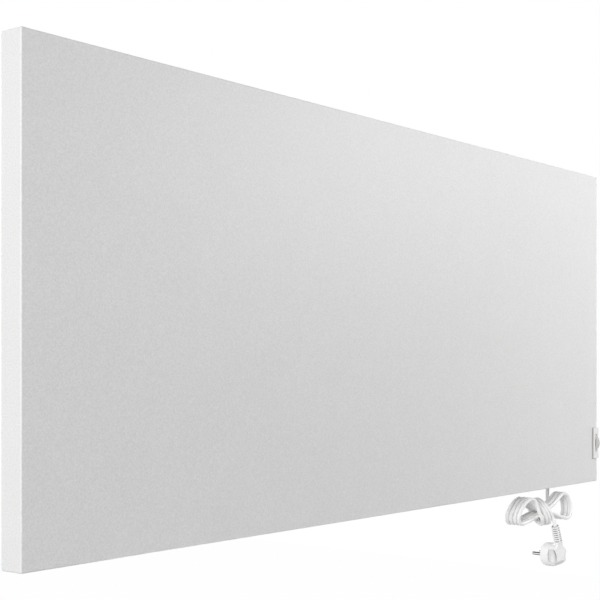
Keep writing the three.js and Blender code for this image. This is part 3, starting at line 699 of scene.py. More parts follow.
FINISHES: dict[Slot, Finish] = {
    Slot.ENAMEL: PAINT,
    Slot.ZINC: SPANGLED,
    Slot.STEEL: Drawn("bright_steel", (0.55, 0.56, 0.57), 0.3, 1.0),
    Slot.WHITE_PLASTIC: CAP_PLASTIC,
    Slot.GREY_PLASTIC: WHEEL_PLASTIC,
    Slot.BRASS: Drawn("rolled_brass", (0.62, 0.46, 0.19), 0.32, 1.0, lines=(1.0, 1.0, 0.08)),
    Slot.NICKEL: CLIP_NICKEL,
    Slot.PVC: SHEATH,
    Slot.RUBBER: Rubbery("black_rubber", (0.022, 0.022, 0.023), 0.75),
    Slot.WOOL: Fibrous("pressed_glass_wool", (0.60, 0.50, 0.19), 0.95),
    Slot.FOIL: Drawn("rolled_foil", (0.72, 0.73, 0.74), 0.22, 1.0, lines=(0.06, 1.0, 1.0)),
    Slot.MICA: Fibrous("pressed_mica", (0.30, 0.25, 0.18), 0.5, fibre=2.5),
    Slot.SILICONE: Rubbery("red_silicone", (0.26, 0.03, 0.015), 0.6),
    Slot.CERAMIC: Moulded("steatite", (0.72, 0.69, 0.61), 0.6, texture=0.9, relief=0.02),
    Slot.WIRE_BROWN: SoftSheath("core_brown", (0.09, 0.035, 0.015), 0.4),
    Slot.WIRE_BLUE: SoftSheath("core_blue", (0.02, 0.07, 0.30), 0.4),
    Slot.WIRE_GREEN: Striped("core_green_yellow", (0.08, 0.24, 0.03), 0.4),
    Slot.WIRE_GREY: SoftSheath("core_grey", (0.05, 0.05, 0.055), 0.45),
}


# ---------------------------------------------------------------------------------------- the bench


class Workpiece:
    """A mesh in millimetres of the panel's frame, shaped with Blender's own operators."""

    AXES = {"x": (0.0, math.pi / 2, 0.0), "y": (-math.pi / 2, 0.0, 0.0), "z": (0.0, 0.0, 0.0)}

    def __init__(self, obj: bpy.types.Object) -> None:
        """Takes an object that stands at the origin."""
        self.obj = obj

    @staticmethod
    def clear() -> None:
        """Leaves edit mode and deselects everything."""
        if bpy.context.object and bpy.context.object.mode != "OBJECT":
            bpy.ops.object.mode_set(mode="OBJECT")
        bpy.ops.object.select_all(action="DESELECT")

    @classmethod
    def adopt(cls, name: str) -> Workpiece:
        """Names the primitive just added and puts its place into its mesh.

        Args:
            name: the piece's name.

        Returns:
            The workpiece.
        """
        obj = bpy.context.object
        obj.name = name
        obj.data.name = name
        bpy.ops.object.transform_apply(location=True, rotation=True, scale=True)
        return cls(obj)

    @classmethod
    def block(cls, name: str, low: Point, high: Point) -> Workpiece:
        """A block between two corners.

        Args:
            name: the piece's name.
            low: its lowest corner.
            high: its highest corner.

        Returns:
            The workpiece.
        """
        cls.clear()
        middle = [(a + b) / 2 for a, b in zip(low, high)]
        size = [b - a for a, b in zip(low, high)]
        bpy.ops.mesh.primitive_cube_add(size=1.0, location=middle, scale=size)
        return cls.adopt(name)

    @classmethod
    def rod(
        cls, name: str, axis: str, radius: float, ends: Pair, across: Pair,
        sides: int = 32, far_radius: float | None = None,
    ) -> Workpiece:
        """A round or tapered bar.

        Args:
            name: the piece's name.
            axis: the axis that it lies along.
            radius: its radius at the low end.
            ends: where it starts and ends along the axis.
            across: its place on the two other axes.
            sides: the number of its flats.
            far_radius: its radius at the high end, where that differs.

        Returns:
            The workpiece.
        """
        cls.clear()
        place = list(across)
        place.insert("xyz".index(axis), sum(ends) / 2)
        far = radius if far_radius is None else far_radius
        bpy.ops.mesh.primitive_cone_add(
            vertices=sides, radius1=radius, radius2=far, depth=ends[1] - ends[0],
            location=place, rotation=cls.AXES[axis],
        )
        return cls.adopt(name)

    @classmethod
    def ball(cls, name: str, middle: Point, radii: Point) -> Workpiece:
        """An egg-shaped ball.

        Args:
            name: the piece's name.
            middle: its middle.
            radii: its radii along the axes.

        Returns:
            The workpiece.
        """
        cls.clear()
        bpy.ops.mesh.primitive_uv_sphere_add(
            segments=48, ring_count=32, radius=1.0, location=middle, scale=radii
        )
        return cls.adopt(name)

    @classmethod
    def prism(cls, name: str, outline: Sequence[Pair], low: float, high: float) -> Workpiece:
        """A flat outline drawn out along X.

        Args:
            name: the piece's name.
            outline: its corners as depth and height.
            low: where it starts along X.
            high: where it ends.

        Returns:
            The workpiece.
        """
        cls.clear()
        bpy.ops.mesh.primitive_circle_add(vertices=len(outline), radius=1.0, fill_type="NGON")
        piece = cls.adopt(name)
        for vertex, (depth, up) in zip(piece.obj.data.vertices, outline):
            vertex.co = (low, depth, up)
        with piece.editing():
            bpy.ops.mesh.select_all(action="SELECT")
            run = (high - low, 0.0, 0.0)
            bpy.ops.mesh.extrude_region_move(TRANSFORM_OT_translate={"value": run})
        return piece.outward()

    @classmethod
    def turned(
        cls, name: str, profile: Sequence[Pair], sides: int = 32, place: Matrix | None = None
    ) -> Workpiece:
        """A profile turned about its axis: a disc drawn out ring by ring.

        Args:
            name: the piece's name.
            profile: radius and height of each ring, from one end to the other.
            sides: the number of its flats.
            place: takes the upright axis at the origin to the piece's own axis.

        Returns:
            The workpiece.
        """
        cls.clear()
        radius, height = profile[0]
        bpy.ops.mesh.primitive_circle_add(
            vertices=sides, radius=radius, fill_type="NGON", location=(0.0, 0.0, height)
        )
        piece = cls.adopt(name)
        with piece.editing():
            bpy.ops.mesh.select_all(action="SELECT")
            for next_radius, next_height in profile[1:]:
                rise = (0.0, 0.0, next_height - height)
                bpy.ops.mesh.extrude_region_move(TRANSFORM_OT_translate={"value": rise})
                size = next_radius / radius
                bpy.ops.transform.resize(
                    value=(size, size, 1.0), center_override=(0.0, 0.0, next_height)
                )
                radius, height = next_radius, next_height
        if place is not None:
            piece.obj.data.transform(place)
        return piece.outward()

    @classmethod
    def folded(
        cls, name: str, profile: Sequence[Pair], low: float, high: float,
        sheet: float, bend: float,
    ) -> Workpiece:
        """Sheet metal folded along X.

        Args:
            name: the piece's name.
            profile: depth and height of the middle of the sheet, fold by fold.
            low: where it starts along X.
            high: where it ends.
            sheet: its thickness.
            bend: the radius of its folds at the middle of the sheet.

        Returns:
            The workpiece.
        """
        cls.clear()
        bpy.ops.mesh.primitive_plane_add(size=1.0)
        piece = cls.adopt(name)
        corners = [(x, *at) for at in profile[:2] for x in (low, high)]
        for vertex, corner in zip(piece.obj.data.vertices, corners):
            vertex.co = corner
        with piece.editing(Element.EDGE):
            piece.pick_edges(lambda a, b: all(cls.near(p, profile[1]) for p in (a, b)))
            for here, there in zip(profile[1:], profile[2:]):
                step = (0.0, there[0] - here[0], there[1] - here[1])
                bpy.ops.mesh.extrude_edges_move(TRANSFORM_OT_translate={"value": step})
            folds = profile[1:-1]
            piece.pick_edges(
                lambda a, b: any(cls.near(a, fold) and cls.near(b, fold) for fold in folds)
            )
            bpy.ops.mesh.bevel(offset=bend, offset_type="OFFSET", segments=6, affect="EDGES")
        piece.modify("SOLIDIFY", thickness=sheet, offset=0.0, use_even_offset=True)
        return piece.outward()

    @staticmethod
    def near(point: Vector, at: Pair) -> bool:
        """Whether a point lies on the line along X through a depth and a height."""
        return math.hypot(point.y - at[0], point.z - at[1]) < NEAR

    def activate(self) -> None:
        """Makes this the one selected and active object."""
        self.clear()
        self.obj.select_set(True)
        bpy.context.view_layer.objects.active = self.obj

    @contextmanager
    def editing(self, element: Element = Element.FACE) -> Iterator[None]:
        """Edit mode on this piece with nothing selected.

        Args:
            element: what is to be selected in it.
        """
        self.activate()
        bpy.ops.object.mode_set(mode="EDIT")
        bpy.ops.mesh.select_mode(type=element.value)
        bpy.ops.mesh.select_all(action="DESELECT")
        try:
            yield
        finally:
            bpy.ops.object.mode_set(mode="OBJECT")

    def pick_faces(self, test: Callable[[Vector, Vector], bool]) -> None:
        """Selects, in edit mode, the faces whose middle and normal pass the test."""
        mesh = bmesh.from_edit_mesh(self.obj.data)
        for face in mesh.faces:
            face.select_set(bool(test(face.calc_center_median(), face.normal)))
        mesh.select_flush_mode()
        bmesh.update_edit_mesh(self.obj.data)

    def pick_edges(self, test: Callable[[Vector, Vector], bool]) -> None:
        """Selects, in edit mode, the edges whose two ends pass the test."""
        mesh = bmesh.from_edit_mesh(self.obj.data)
        for edge in mesh.edges:
            edge.select_set(bool(test(edge.verts[0].co, edge.verts[1].co)))
        mesh.select_flush_mode()
        bmesh.update_edit_mesh(self.obj.data)

    def outward(self) -> Workpiece:
        """Points all faces outwards."""
        with self.editing():
            bpy.ops.mesh.select_all(action="SELECT")
            bpy.ops.mesh.normals_make_consistent(inside=False)
        return self

    def modify(self, kind: str, **settings: Any) -> Workpiece:
        """Adds a modifier and applies it.

        Args:
            kind: the modifier's type.
            **settings: its settings.

        Returns:
            This piece.
        """
        self.activate()
        step = self.obj.modifiers.new(kind.title(), kind)
        for name, value in settings.items():
            setattr(step, name, value)
        bpy.ops.object.modifier_apply(modifier=step.name)
        return self

    def combine(self, operation: str, *tools: Workpiece) -> Workpiece:
        """Cuts with, joins to or keeps what is common with other pieces, which are used up.

        Args:
            operation: DIFFERENCE, UNION or INTERSECT.
            *tools: the other pieces.

        Returns:
            This piece.
        """
        for tool in tools:
            self.modify("BOOLEAN", operation=operation, object=tool.obj, solver="EXACT")
            bpy.data.objects.remove(tool.obj)
        return self

    def cut(self, *tools: Workpiece) -> Workpiece:
        """Cuts the tools out of this piece."""
        return self.combine("DIFFERENCE", *tools)

    def join(self, *tools: Workpiece) -> Workpiece:
        """Makes one solid of this piece and the others."""
        return self.combine("UNION", *tools)

    def ringed(self, count: int) -> Workpiece:
        """Repeats the piece round the X axis.

        Args:
            count: how many there are then.

        Returns:
            This piece.
        """
        with self.editing():
            bpy.ops.mesh.select_all(action="SELECT")
            for _ in range(count - 1):
                bpy.ops.mesh.duplicate()
                bpy.ops.transform.rotate(
                    value=2.0 * math.pi / count, orient_axis="X", orient_type="GLOBAL",
                    center_override=ORIGIN,
                )
        return self

    def placed(self, place: Matrix) -> Workpiece:
        """Moves the piece's mesh."""
        self.obj.data.transform(place)
        return self

    def soften(self, radius: float, segments: int = 3, angle: float = 40.0) -> Workpiece:
        """Rounds the edges and shades the piece smooth between them.

        Args:
            radius: the radius of the edges.
            segments: the steps across an edge.
            angle: the least angle of an edge that is rounded, in degrees.

        Returns:
            This piece.
        """
        self.modify(
            "BEVEL", width=radius, segments=segments, limit_method="ANGLE",
            angle_limit=math.radians(angle),
        )
        return self.shaded()

    def shaded(self, angle: float = 35.0) -> Workpiece:
        """Shades the piece smooth, with its flats kept flat.

        Args:
            angle: the least angle of an edge that stays sharp, in degrees.

        Returns:
            This piece.
        """
        self.activate()
        bpy.ops.object.shade_smooth_by_angle(angle=math.radians(angle))
        return self.modify("WEIGHTED_NORMAL", keep_sharp=True, weight=80)

    def moulded(self, voxel: float, rounds: int) -> Workpiece:
        """Melts the edges of the piece into each other, as in a moulding.

        Args:
            voxel: the size of the new mesh's faces.
            rounds: how often it is smoothed.

        Returns:
            This piece.
        """
        self.modify("REMESH", mode="VOXEL", voxel_size=voxel, use_smooth_shade=True)
        return self.modify("SMOOTH", factor=0.5, iterations=rounds)

    def copy(self, name: str, shift: Point) -> Workpiece:
        """A copy with a mesh of its own.

        Args:
            name: its name.
            shift: how far it stands from this one.

        Returns:
            The copy.
        """
        obj = self.obj.copy()
        obj.data = self.obj.data.copy()
        obj.name = name
        obj.data.name = name
        bpy.context.collection.objects.link(obj)
        obj.data.transform(Matrix.Translation(shift))
        return Workpiece(obj)

    def publish(
        self, body: Body, slot: Slot, finish: Finish | None = None, nodes: Sequence[str] = ()
    ) -> bpy.types.Object:
        """Takes the piece to the row's frame, gives it its finish and its body, and hides the nodes
        it stands for.

        Args:
            body: the body that it rides on.
            slot: the record's slot of its finish.
            finish: its finish, where the slot's own isn't meant.
            nodes: the CAD nodes that it stands for.

        Returns:
            The object.
        """
        self.clear()
        self.obj.data.transform(PANEL_TO_ROW)
        return hand_over(self.obj, body, slot, finish, nodes)


def hand_over(
    obj: bpy.types.Object, body: Body, slot: Slot, finish: Finish | None, nodes: Sequence[str]
) -> bpy.types.Object:
    """Gives a piece its finish, from its slot where none is given, and its body, and hides the CAD
    nodes that it stands for.

    Args:
        obj: the piece, in the row's frame.
        body: the body that it rides on.
        slot: the record's slot of its finish.
        finish: its finish, or none for the slot's own.
        nodes: the CAD nodes that it stands for.

    Returns:
        The object.
    """
    obj.data.materials.clear()
    obj.data.materials.append(material_of(finish or FINISHES[slot]))
    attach(obj, body.value)
    if nodes:
        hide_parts(*nodes)
    LOG.info("%s rides on %s", obj.name, body.value)
    return obj


def onto(axis_from: Vector, axis_to: Vector) -> Matrix:
    """Takes the upright axis at the origin to the line from one point to another.

    Args:
        axis_from: where the origin goes.
        axis_to: a point that the axis then passes.

    Returns:
        The placement.
    """
    turn = Vector((0.0, 0.0, 1.0)).rotation_difference(axis_to - axis_from).to_matrix().to_4x4()
    return Matrix.Translation(axis_from) @ turn


def backwards(x: float, depth: float, up: float) -> Matrix:
    """Takes the upright axis at the origin to one that points from a place to the wall."""
    start = Vector((x, depth, up))
    return onto(start, start + Vector((0.0, 1.0, 0.0)))


# --------------------------------------------------------------------------------------- the studio


@dataclass(frozen=True)
class Lamp:
    """A soft square lamp, in metres."""

    name: str
    place: Point
    aim: Point
    side: float
    power: float


@dataclass(frozen=True)
class Studio:
    """The camera, lamps, surroundings and floor."""

    camera_place: Point = (-1.35706, -0.97613, -0.18625)
    camera_turn: float = -51.7229
    lens: float = 76.71
    sensor: float = 36.0
    horizon: float = 65.0 / 600.0
    ambient: float = 0.19
    floor_depth: float = 1.5
    floor_size: float = 12.0
    floor_grey: float = 0.7
    floor_white: float = 0.99
    lamps: tuple[Lamp, ...] = (
        Lamp("left_lamp", (-3.2, -0.9, 0.5), (-0.6, 0.0, -0.13), 1.2, 79.0),
        Lamp("right_lamp", (1.3, -1.2, 0.45), (0.65, 0.0, 0.05), 0.7, 15.0),
        Lamp("front_lamp", (-0.6, -2.6, -0.3), (0.3, 0.0, -0.3), 0.9, 5.0),
        Lamp("low_lamp", (0.7, -1.5, -0.9), (0.3, 0.0, -0.45), 0.8, 2.4),
        Lamp("edge_lamp", (-0.5, 0.02, -0.62), (0.5, -0.04, -0.45), 0.2, 1.1),
        Lamp("wall_lamp", (-0.35, 0.3, -0.3), (0.5, -0.03, -0.42), 0.3, 1.1),
        Lamp("back_lamp", (0.4, 3.0, 1.2), (0.0, 0.0, -0.13), 2.0, 30.0),
    )

    def camera(self) -> None:
        """The camera, level, with the horizon below the picture's middle."""
        data = bpy.data.cameras.new("camera")
        data.lens = self.lens
        data.sensor_width = self.sensor
        data.shift_y = self.horizon
        camera = bpy.data.objects.new("camera", data)
        camera.location = self.camera_place
        camera.rotation_euler = (math.pi / 2, 0.0, math.radians(self.camera_turn))
        bpy.context.collection.objects.link(camera)
        bpy.context.scene.camera = camera

    @staticmethod
    def seen(graph: Graph) -> Signal:
        """1 for rays that come from the camera, a mirror or glass, and 0 for the rest."""
        rays = [graph.node("ShaderNodeLightPath", output=f"Is {kind} Ray")
                for kind in ("Camera", "Glossy", "Transmission")]
        return graph.math("MINIMUM", rays[0] + rays[1] + rays[2], 1.0)

    def surroundings(self) -> None:
        """A white world that lights the object softly from all round."""
        world = bpy.data.worlds.new("studio")
        world.use_nodes = True
        graph = Graph(world.node_tree)
        tone = graph.blend(self.seen(graph), (self.ambient,) * 3, WHITE)
        sky = graph.node("ShaderNodeBackground", None, {"Color": tone, "Strength": 1.0})
        graph.node("ShaderNodeOutputWorld", None, {"Surface": sky})
        bpy.context.scene.world = world

    def floor(self) -> None:
        """A pale floor far below the object, white to the camera but for the object's shadow."""
        Workpiece.clear()
        place = (0.0, 0.0, -self.floor_depth)
        bpy.ops.mesh.primitive_plane_add(size=self.floor_size, location=place)
        floor = Workpiece.adopt("floor").obj
        made = bpy.data.materials.new("pale_floor")
        made.use_nodes = True
        graph = Graph(made.node_tree)
        grey = (*(self.floor_grey,) * 3, 1.0)
        matt = graph.node("ShaderNodeBsdfDiffuse", None, {"Color": grey})
        white = graph.node("ShaderNodeEmission", None, {"Color": (*WHITE, 1.0), "Strength": 1.0})
        part = self.seen(graph) * self.floor_white
        mixed = graph.node("ShaderNodeMixShader", None, {0: part, 1: matt, 2: white})
        graph.node("ShaderNodeOutputMaterial", None, {"Surface": mixed})
        floor.data.materials.append(made)

    def light(self) -> None:
        """The lamps, which the camera doesn't see."""
        for lamp in self.lamps:
            data = bpy.data.lights.new(lamp.name, "AREA")
            data.shape = "SQUARE"
            data.size = lamp.side
            data.energy = lamp.power
            obj = bpy.data.objects.new(lamp.name, data)
            way = Vector(lamp.aim) - Vector(lamp.place)
            turn = way.to_track_quat("-Z", "Y").to_matrix().to_4x4()
            obj.matrix_world = Matrix.Translation(lamp.place) @ turn
            obj.visible_camera = False
            bpy.context.collection.objects.link(obj)

    def build(self) -> None:
        """Sets the studio up."""
        bpy.context.scene.view_settings.view_transform = "Standard"
        self.surroundings()
        self.light()
        self.floor()


# --------------------------------------------------------------------------------------- mains lead


def eased(part: float) -> float:
    """A smooth step from 0 to 1."""
    return (1.0 - math.cos(math.pi * min(1.0, max(0.0, part)))) / 2.0


@dataclass(frozen=True)
class MainsLead:
    """The lead, from the box behind the panel down to its hank and on to its plug."""

    diameter: float = 5.8
    gland_tip: Point = (507.0, 41.0, 60.7)
    middle: Point = (454.5, 28.5, -34.5)
    turn: float = 4.0
    start: float = 30.0
    loops: int = 3
    left: float = 73.0
    right: float = 76.0
    fold: float = 19.0
    nest: float = 1.6
    waist: float = 3.5
    sag: float = 4.0
    flat: float = 11.0
    layer: float = 7.1
    corner: float = 0.7
    lean_left: float = 0.3
    lean_right: float = 0.15
    straight: float = 0.65
    shear_left: float = 0.2
    wraps: int = 3
    wrap_radius: float = 21.0
    wrap_below: float = 5.0
    wrap_axis: Point = (1.0, 0.6, -0.6)
    pitch: float = 8.7
    loose: float = 4.0
    pull: float = 0.42
    steps: int = 48
    nest_middle: float = 1.7
    last_part: float = 0.375
    ease: float = 3.0
    falls: tuple[Point, ...] = (
        (0.0, 0.0, 4.0), (0.0, 0.0, -11.0), (1.4, 0.8, -25.0), (4.4, 2.6, -43.0),
        (6.0, 3.8, -59.0), (6.2, 4.0, -69.0),
    )
    bend: tuple[Point, ...] = (
        (27.4, 8.0, 18.5), (25.2, 6.2, 12.5), (21.7, 3.9, 7.3), (17.1, 1.6, 3.3),
        (11.7, 0.1, 0.8),
    )
    length: float = 1.78

    def in_hank(self, point: Sequence[float]) -> Vector:
        """A point of the hank's own axes (along, up, back to the wall) in the panel's frame."""
        along, up, back = point
        angle = math.radians(self.turn)
        x, depth, height = self.middle
        return Vector((
            x + along * math.cos(angle) + back * math.sin(angle),
            depth - along * math.sin(angle) + back * math.cos(angle),
            height + up,
        ))

    def loop_point(self, turn: float) -> Point:
        """A point of the looped part, which climbs a layer along its upper run.

        Args:
            turn: one loop is one unit, from the middle of its lower run and going left.

        Returns:
            The point in the hank's own axes.
        """
        whole = math.floor(turn)
        eighths = 8.0 * (turn - whole)
        spiral = self.nest * (1.0 - abs(turn - self.nest_middle) / self.nest_middle)
        left = self.left - self.fold - spiral
        right = self.right - self.fold - spiral
        hand = 1.0 if 3.0 <= eighths < 5.0 else -1.0
        end_up: float | None = None
        if eighths < 1.0:
            along = -left * eighths
        elif eighths < 3.0:
            angle = math.pi * (eighths - 1.0) / 2.0
            along, end_up = -left - self.fold * math.sin(angle), -self.fold * math.cos(angle)
        elif eighths < 5.0:
            along = -left + (left + right) * (eighths - 3.0) / 2.0
        elif eighths < 7.0:
            angle = math.pi * (eighths - 5.0) / 2.0
            along = right + self.fold * math.sin(angle) ** self.corner
            end_up = self.fold * math.cos(angle)
        else:
            along = right * (8.0 - eighths)
        reach = (left if along < 0.0 else right) - self.flat
        share = min(1.0, max(0.0, (abs(along) - self.flat) / reach))
        open_part = self.straight * share + (1.0 - self.straight) * eased(share)
        tied = hand * self.waist - self.sag
        up = tied + (hand * self.fold - tied) * open_part if end_up is None else end_up
        lean = (self.lean_left if along < 0.0 else -self.lean_right) * open_part
        back = self.layer * (self.loops / 2.0 - whole - eased((eighths - 3.0) / 2.0)) - lean * up
        if along < 0.0:
            along += self.shear_left * open_part * up
        return along, up, back

    def wrap_point(self, turn: float) -> Vector:
        """A point of the turns wrapped round the waist, in the hank's own axes, from its front."""
        angle = math.pi / 2 + 2.0 * math.pi * turn
        lean = Vector((1.0, 0.0, 0.0)).rotation_difference(Vector(self.wrap_axis))
        radius = self.wrap_radius
        ring = lean @ Vector((0.0, radius * math.cos(angle), -radius * math.sin(angle)))
        along = self.pitch * (turn - self.wraps / 2) - self.loose * max(0.0, 1.0 - turn) ** 2
        return ring + Vector((along, -self.wrap_below, 0.0))

    def way(self, turn: float) -> Vector:
        """The way that the lead goes at a point of its wraps."""
        return (self.wrap_point(turn + 0.002) - self.wrap_point(turn - 0.002)).normalized()

    def hank(self) -> list[Vector]:
        """The points of the hank, loops first and the turns round its waist last."""
        low, back = -self.waist - self.sag, self.loops / 2.0 * self.layer
        path = [Vector((self.start, low, back)), Vector((self.start - self.diameter, low, back))]
        loop_steps = round((self.loops + self.last_part) * self.steps)
        path += [Vector(self.loop_point(i / self.steps)) for i in range(loop_steps + 1)]
        start, end = path[-1], self.wrap_point(0.0)
        pull = self.pull * (end - start).length
        first, second = start + Vector((pull, 0.0, 0.0)), end - self.way(0.0) * pull
        over_steps = self.steps // 4
        for i in range(1, over_steps):
            t = i / over_steps
            u = 1.0 - t
            near, far = start * u ** 3 + first * (3 * u * u * t), second * (3 * u * t * t)
            path.append(near + far + end * t ** 3)
        path += [self.wrap_point(i / self.steps) for i in range(self.wraps * self.steps + 1)]
        path.append(path[-1] + self.way(self.wraps) * self.diameter)
        return [self.in_hank(point) for point in path]

    def drop(self, first: Vector, outward: Vector) -> list[Vector]:
        """The points from the gland down behind the hank, and round a bend into its lower run.

        Args:
            first: where the hank starts.
            outward: the way out of it there.

        Returns:
            The points in the panel's frame.
        """
        tip = Vector(self.gland_tip)
        points = [tip + Vector(step) for step in self.falls]
        points += [first + Vector(step) for step in self.bend]
        return points + [first + outward * self.diameter]

    def tail(self, last: Vector, falling: Vector) -> list[Vector]:
        """The points from the hank into the plug's strain relief.

        Args:
            last: where the hank ends.
            falling: the way that the lead goes there.

        Returns:
            The points in the panel's frame.
        """
        top = Vector(RELIEF_TOP)
        step = (Vector(RELIEF_FOOT) - top).normalized() * self.ease
        return [last + falling * self.ease, top - step, top + step]

    def route(self) -> list[Vector]:
        """The whole lead's points, from the gland to the plug."""
        hank = self.hank()
        outward, falling = (hank[0] - hank[1]).normalized(), (hank[-1] - hank[-2]).normalized()
        return self.drop(hank[0], outward) + hank + self.tail(hank[-1], falling)

    def build(self, plug: Sequence[bpy.types.Object]) -> bpy.types.Object:
        """Lays the lead as one round curve.

        Args:
            plug: the pieces at its far end; not used.

        Returns:
            The lead.
        """
        data = bpy.data.curves.new("mains_lead", "CURVE")
        data.dimensions = "3D"
        spline = data.splines.new("BEZIER")
        points = [PANEL_TO_ROW @ point for point in self.route()]
        spline.bezier_points.add(len(points) - 1)
        for knot, point in zip(spline.bezier_points, points):
            knot.co = point
            knot.handle_left_type = knot.handle_right_type = "AUTO"
        spline.resolution_u = 3
        data.bevel_depth = self.diameter / 2 * MM
        data.bevel_resolution = 6
        data.use_fill_caps = True
        lead = bpy.data.objects.new("mains_lead", data)
        bpy.context.collection.objects.link(lead)
        hand_over(lead, Body.PANEL, Slot.PVC, None, ("cord_drop", "cord_hank", "cord_tail"))
        return lead


@dataclass(frozen=True)
class StrainRelief:
    """A tapered strain relief: rings with deep grooves between them, held together by webs.

    Its tip, where the lead comes out, stands at the origin, and its axis points up until it is
    placed.
    """

    tip: float
    foot: float
    length: float
    ribs: int
    groove: float
    collar: float
    web: float
    turn: float
    margin: float = 0.4
    rib: tuple[Pair, ...] = ((0.35, 0.0), (0.0, 0.1), (0.0, 0.46), (0.25, 0.52))

    def build(self, name: str, place: Matrix) -> Workpiece:
        """Makes it.

        Args:
            name: the piece's name.
            place: takes its upright axis to its own.

        Returns:
            The workpiece.
        """
        body = self.length - self.collar
        pitch = body / self.ribs
        profile: list[Pair] = []
        for i in range(self.ribs):
            radius, at = self.tip + (self.foot - self.tip) * i / (self.ribs - 1), pitch * i
            rings = (*self.rib, (self.groove, 0.56), (self.groove, 0.97))
            profile += [(radius - below, at + pitch * part) for below, part in rings]
        profile += [(self.foot, body), (self.foot, self.length)]
        piece = Workpiece.turned(name, profile, 48)
        for quarter in (0.0, 90.0):
            reach, thin = self.foot - self.margin, self.web / 2
            low, high = (-reach, -thin, self.margin), (reach, thin, body + 0.2)
            web = Workpiece.block("web", low, high)
            with web.editing():
                web.pick_faces(lambda middle, normal: normal.z < -0.5)
                narrow, foot = (self.tip - self.margin) / reach, (0.0, 0.0, self.margin)
                bpy.ops.transform.resize(value=(narrow, 1.0, 1.0), center_override=foot)
            web.obj.data.transform(Matrix.Rotation(math.radians(self.turn + quarter), 4, "Z"))
            piece.join(web)
        return piece.shaded(50.0).placed(place)


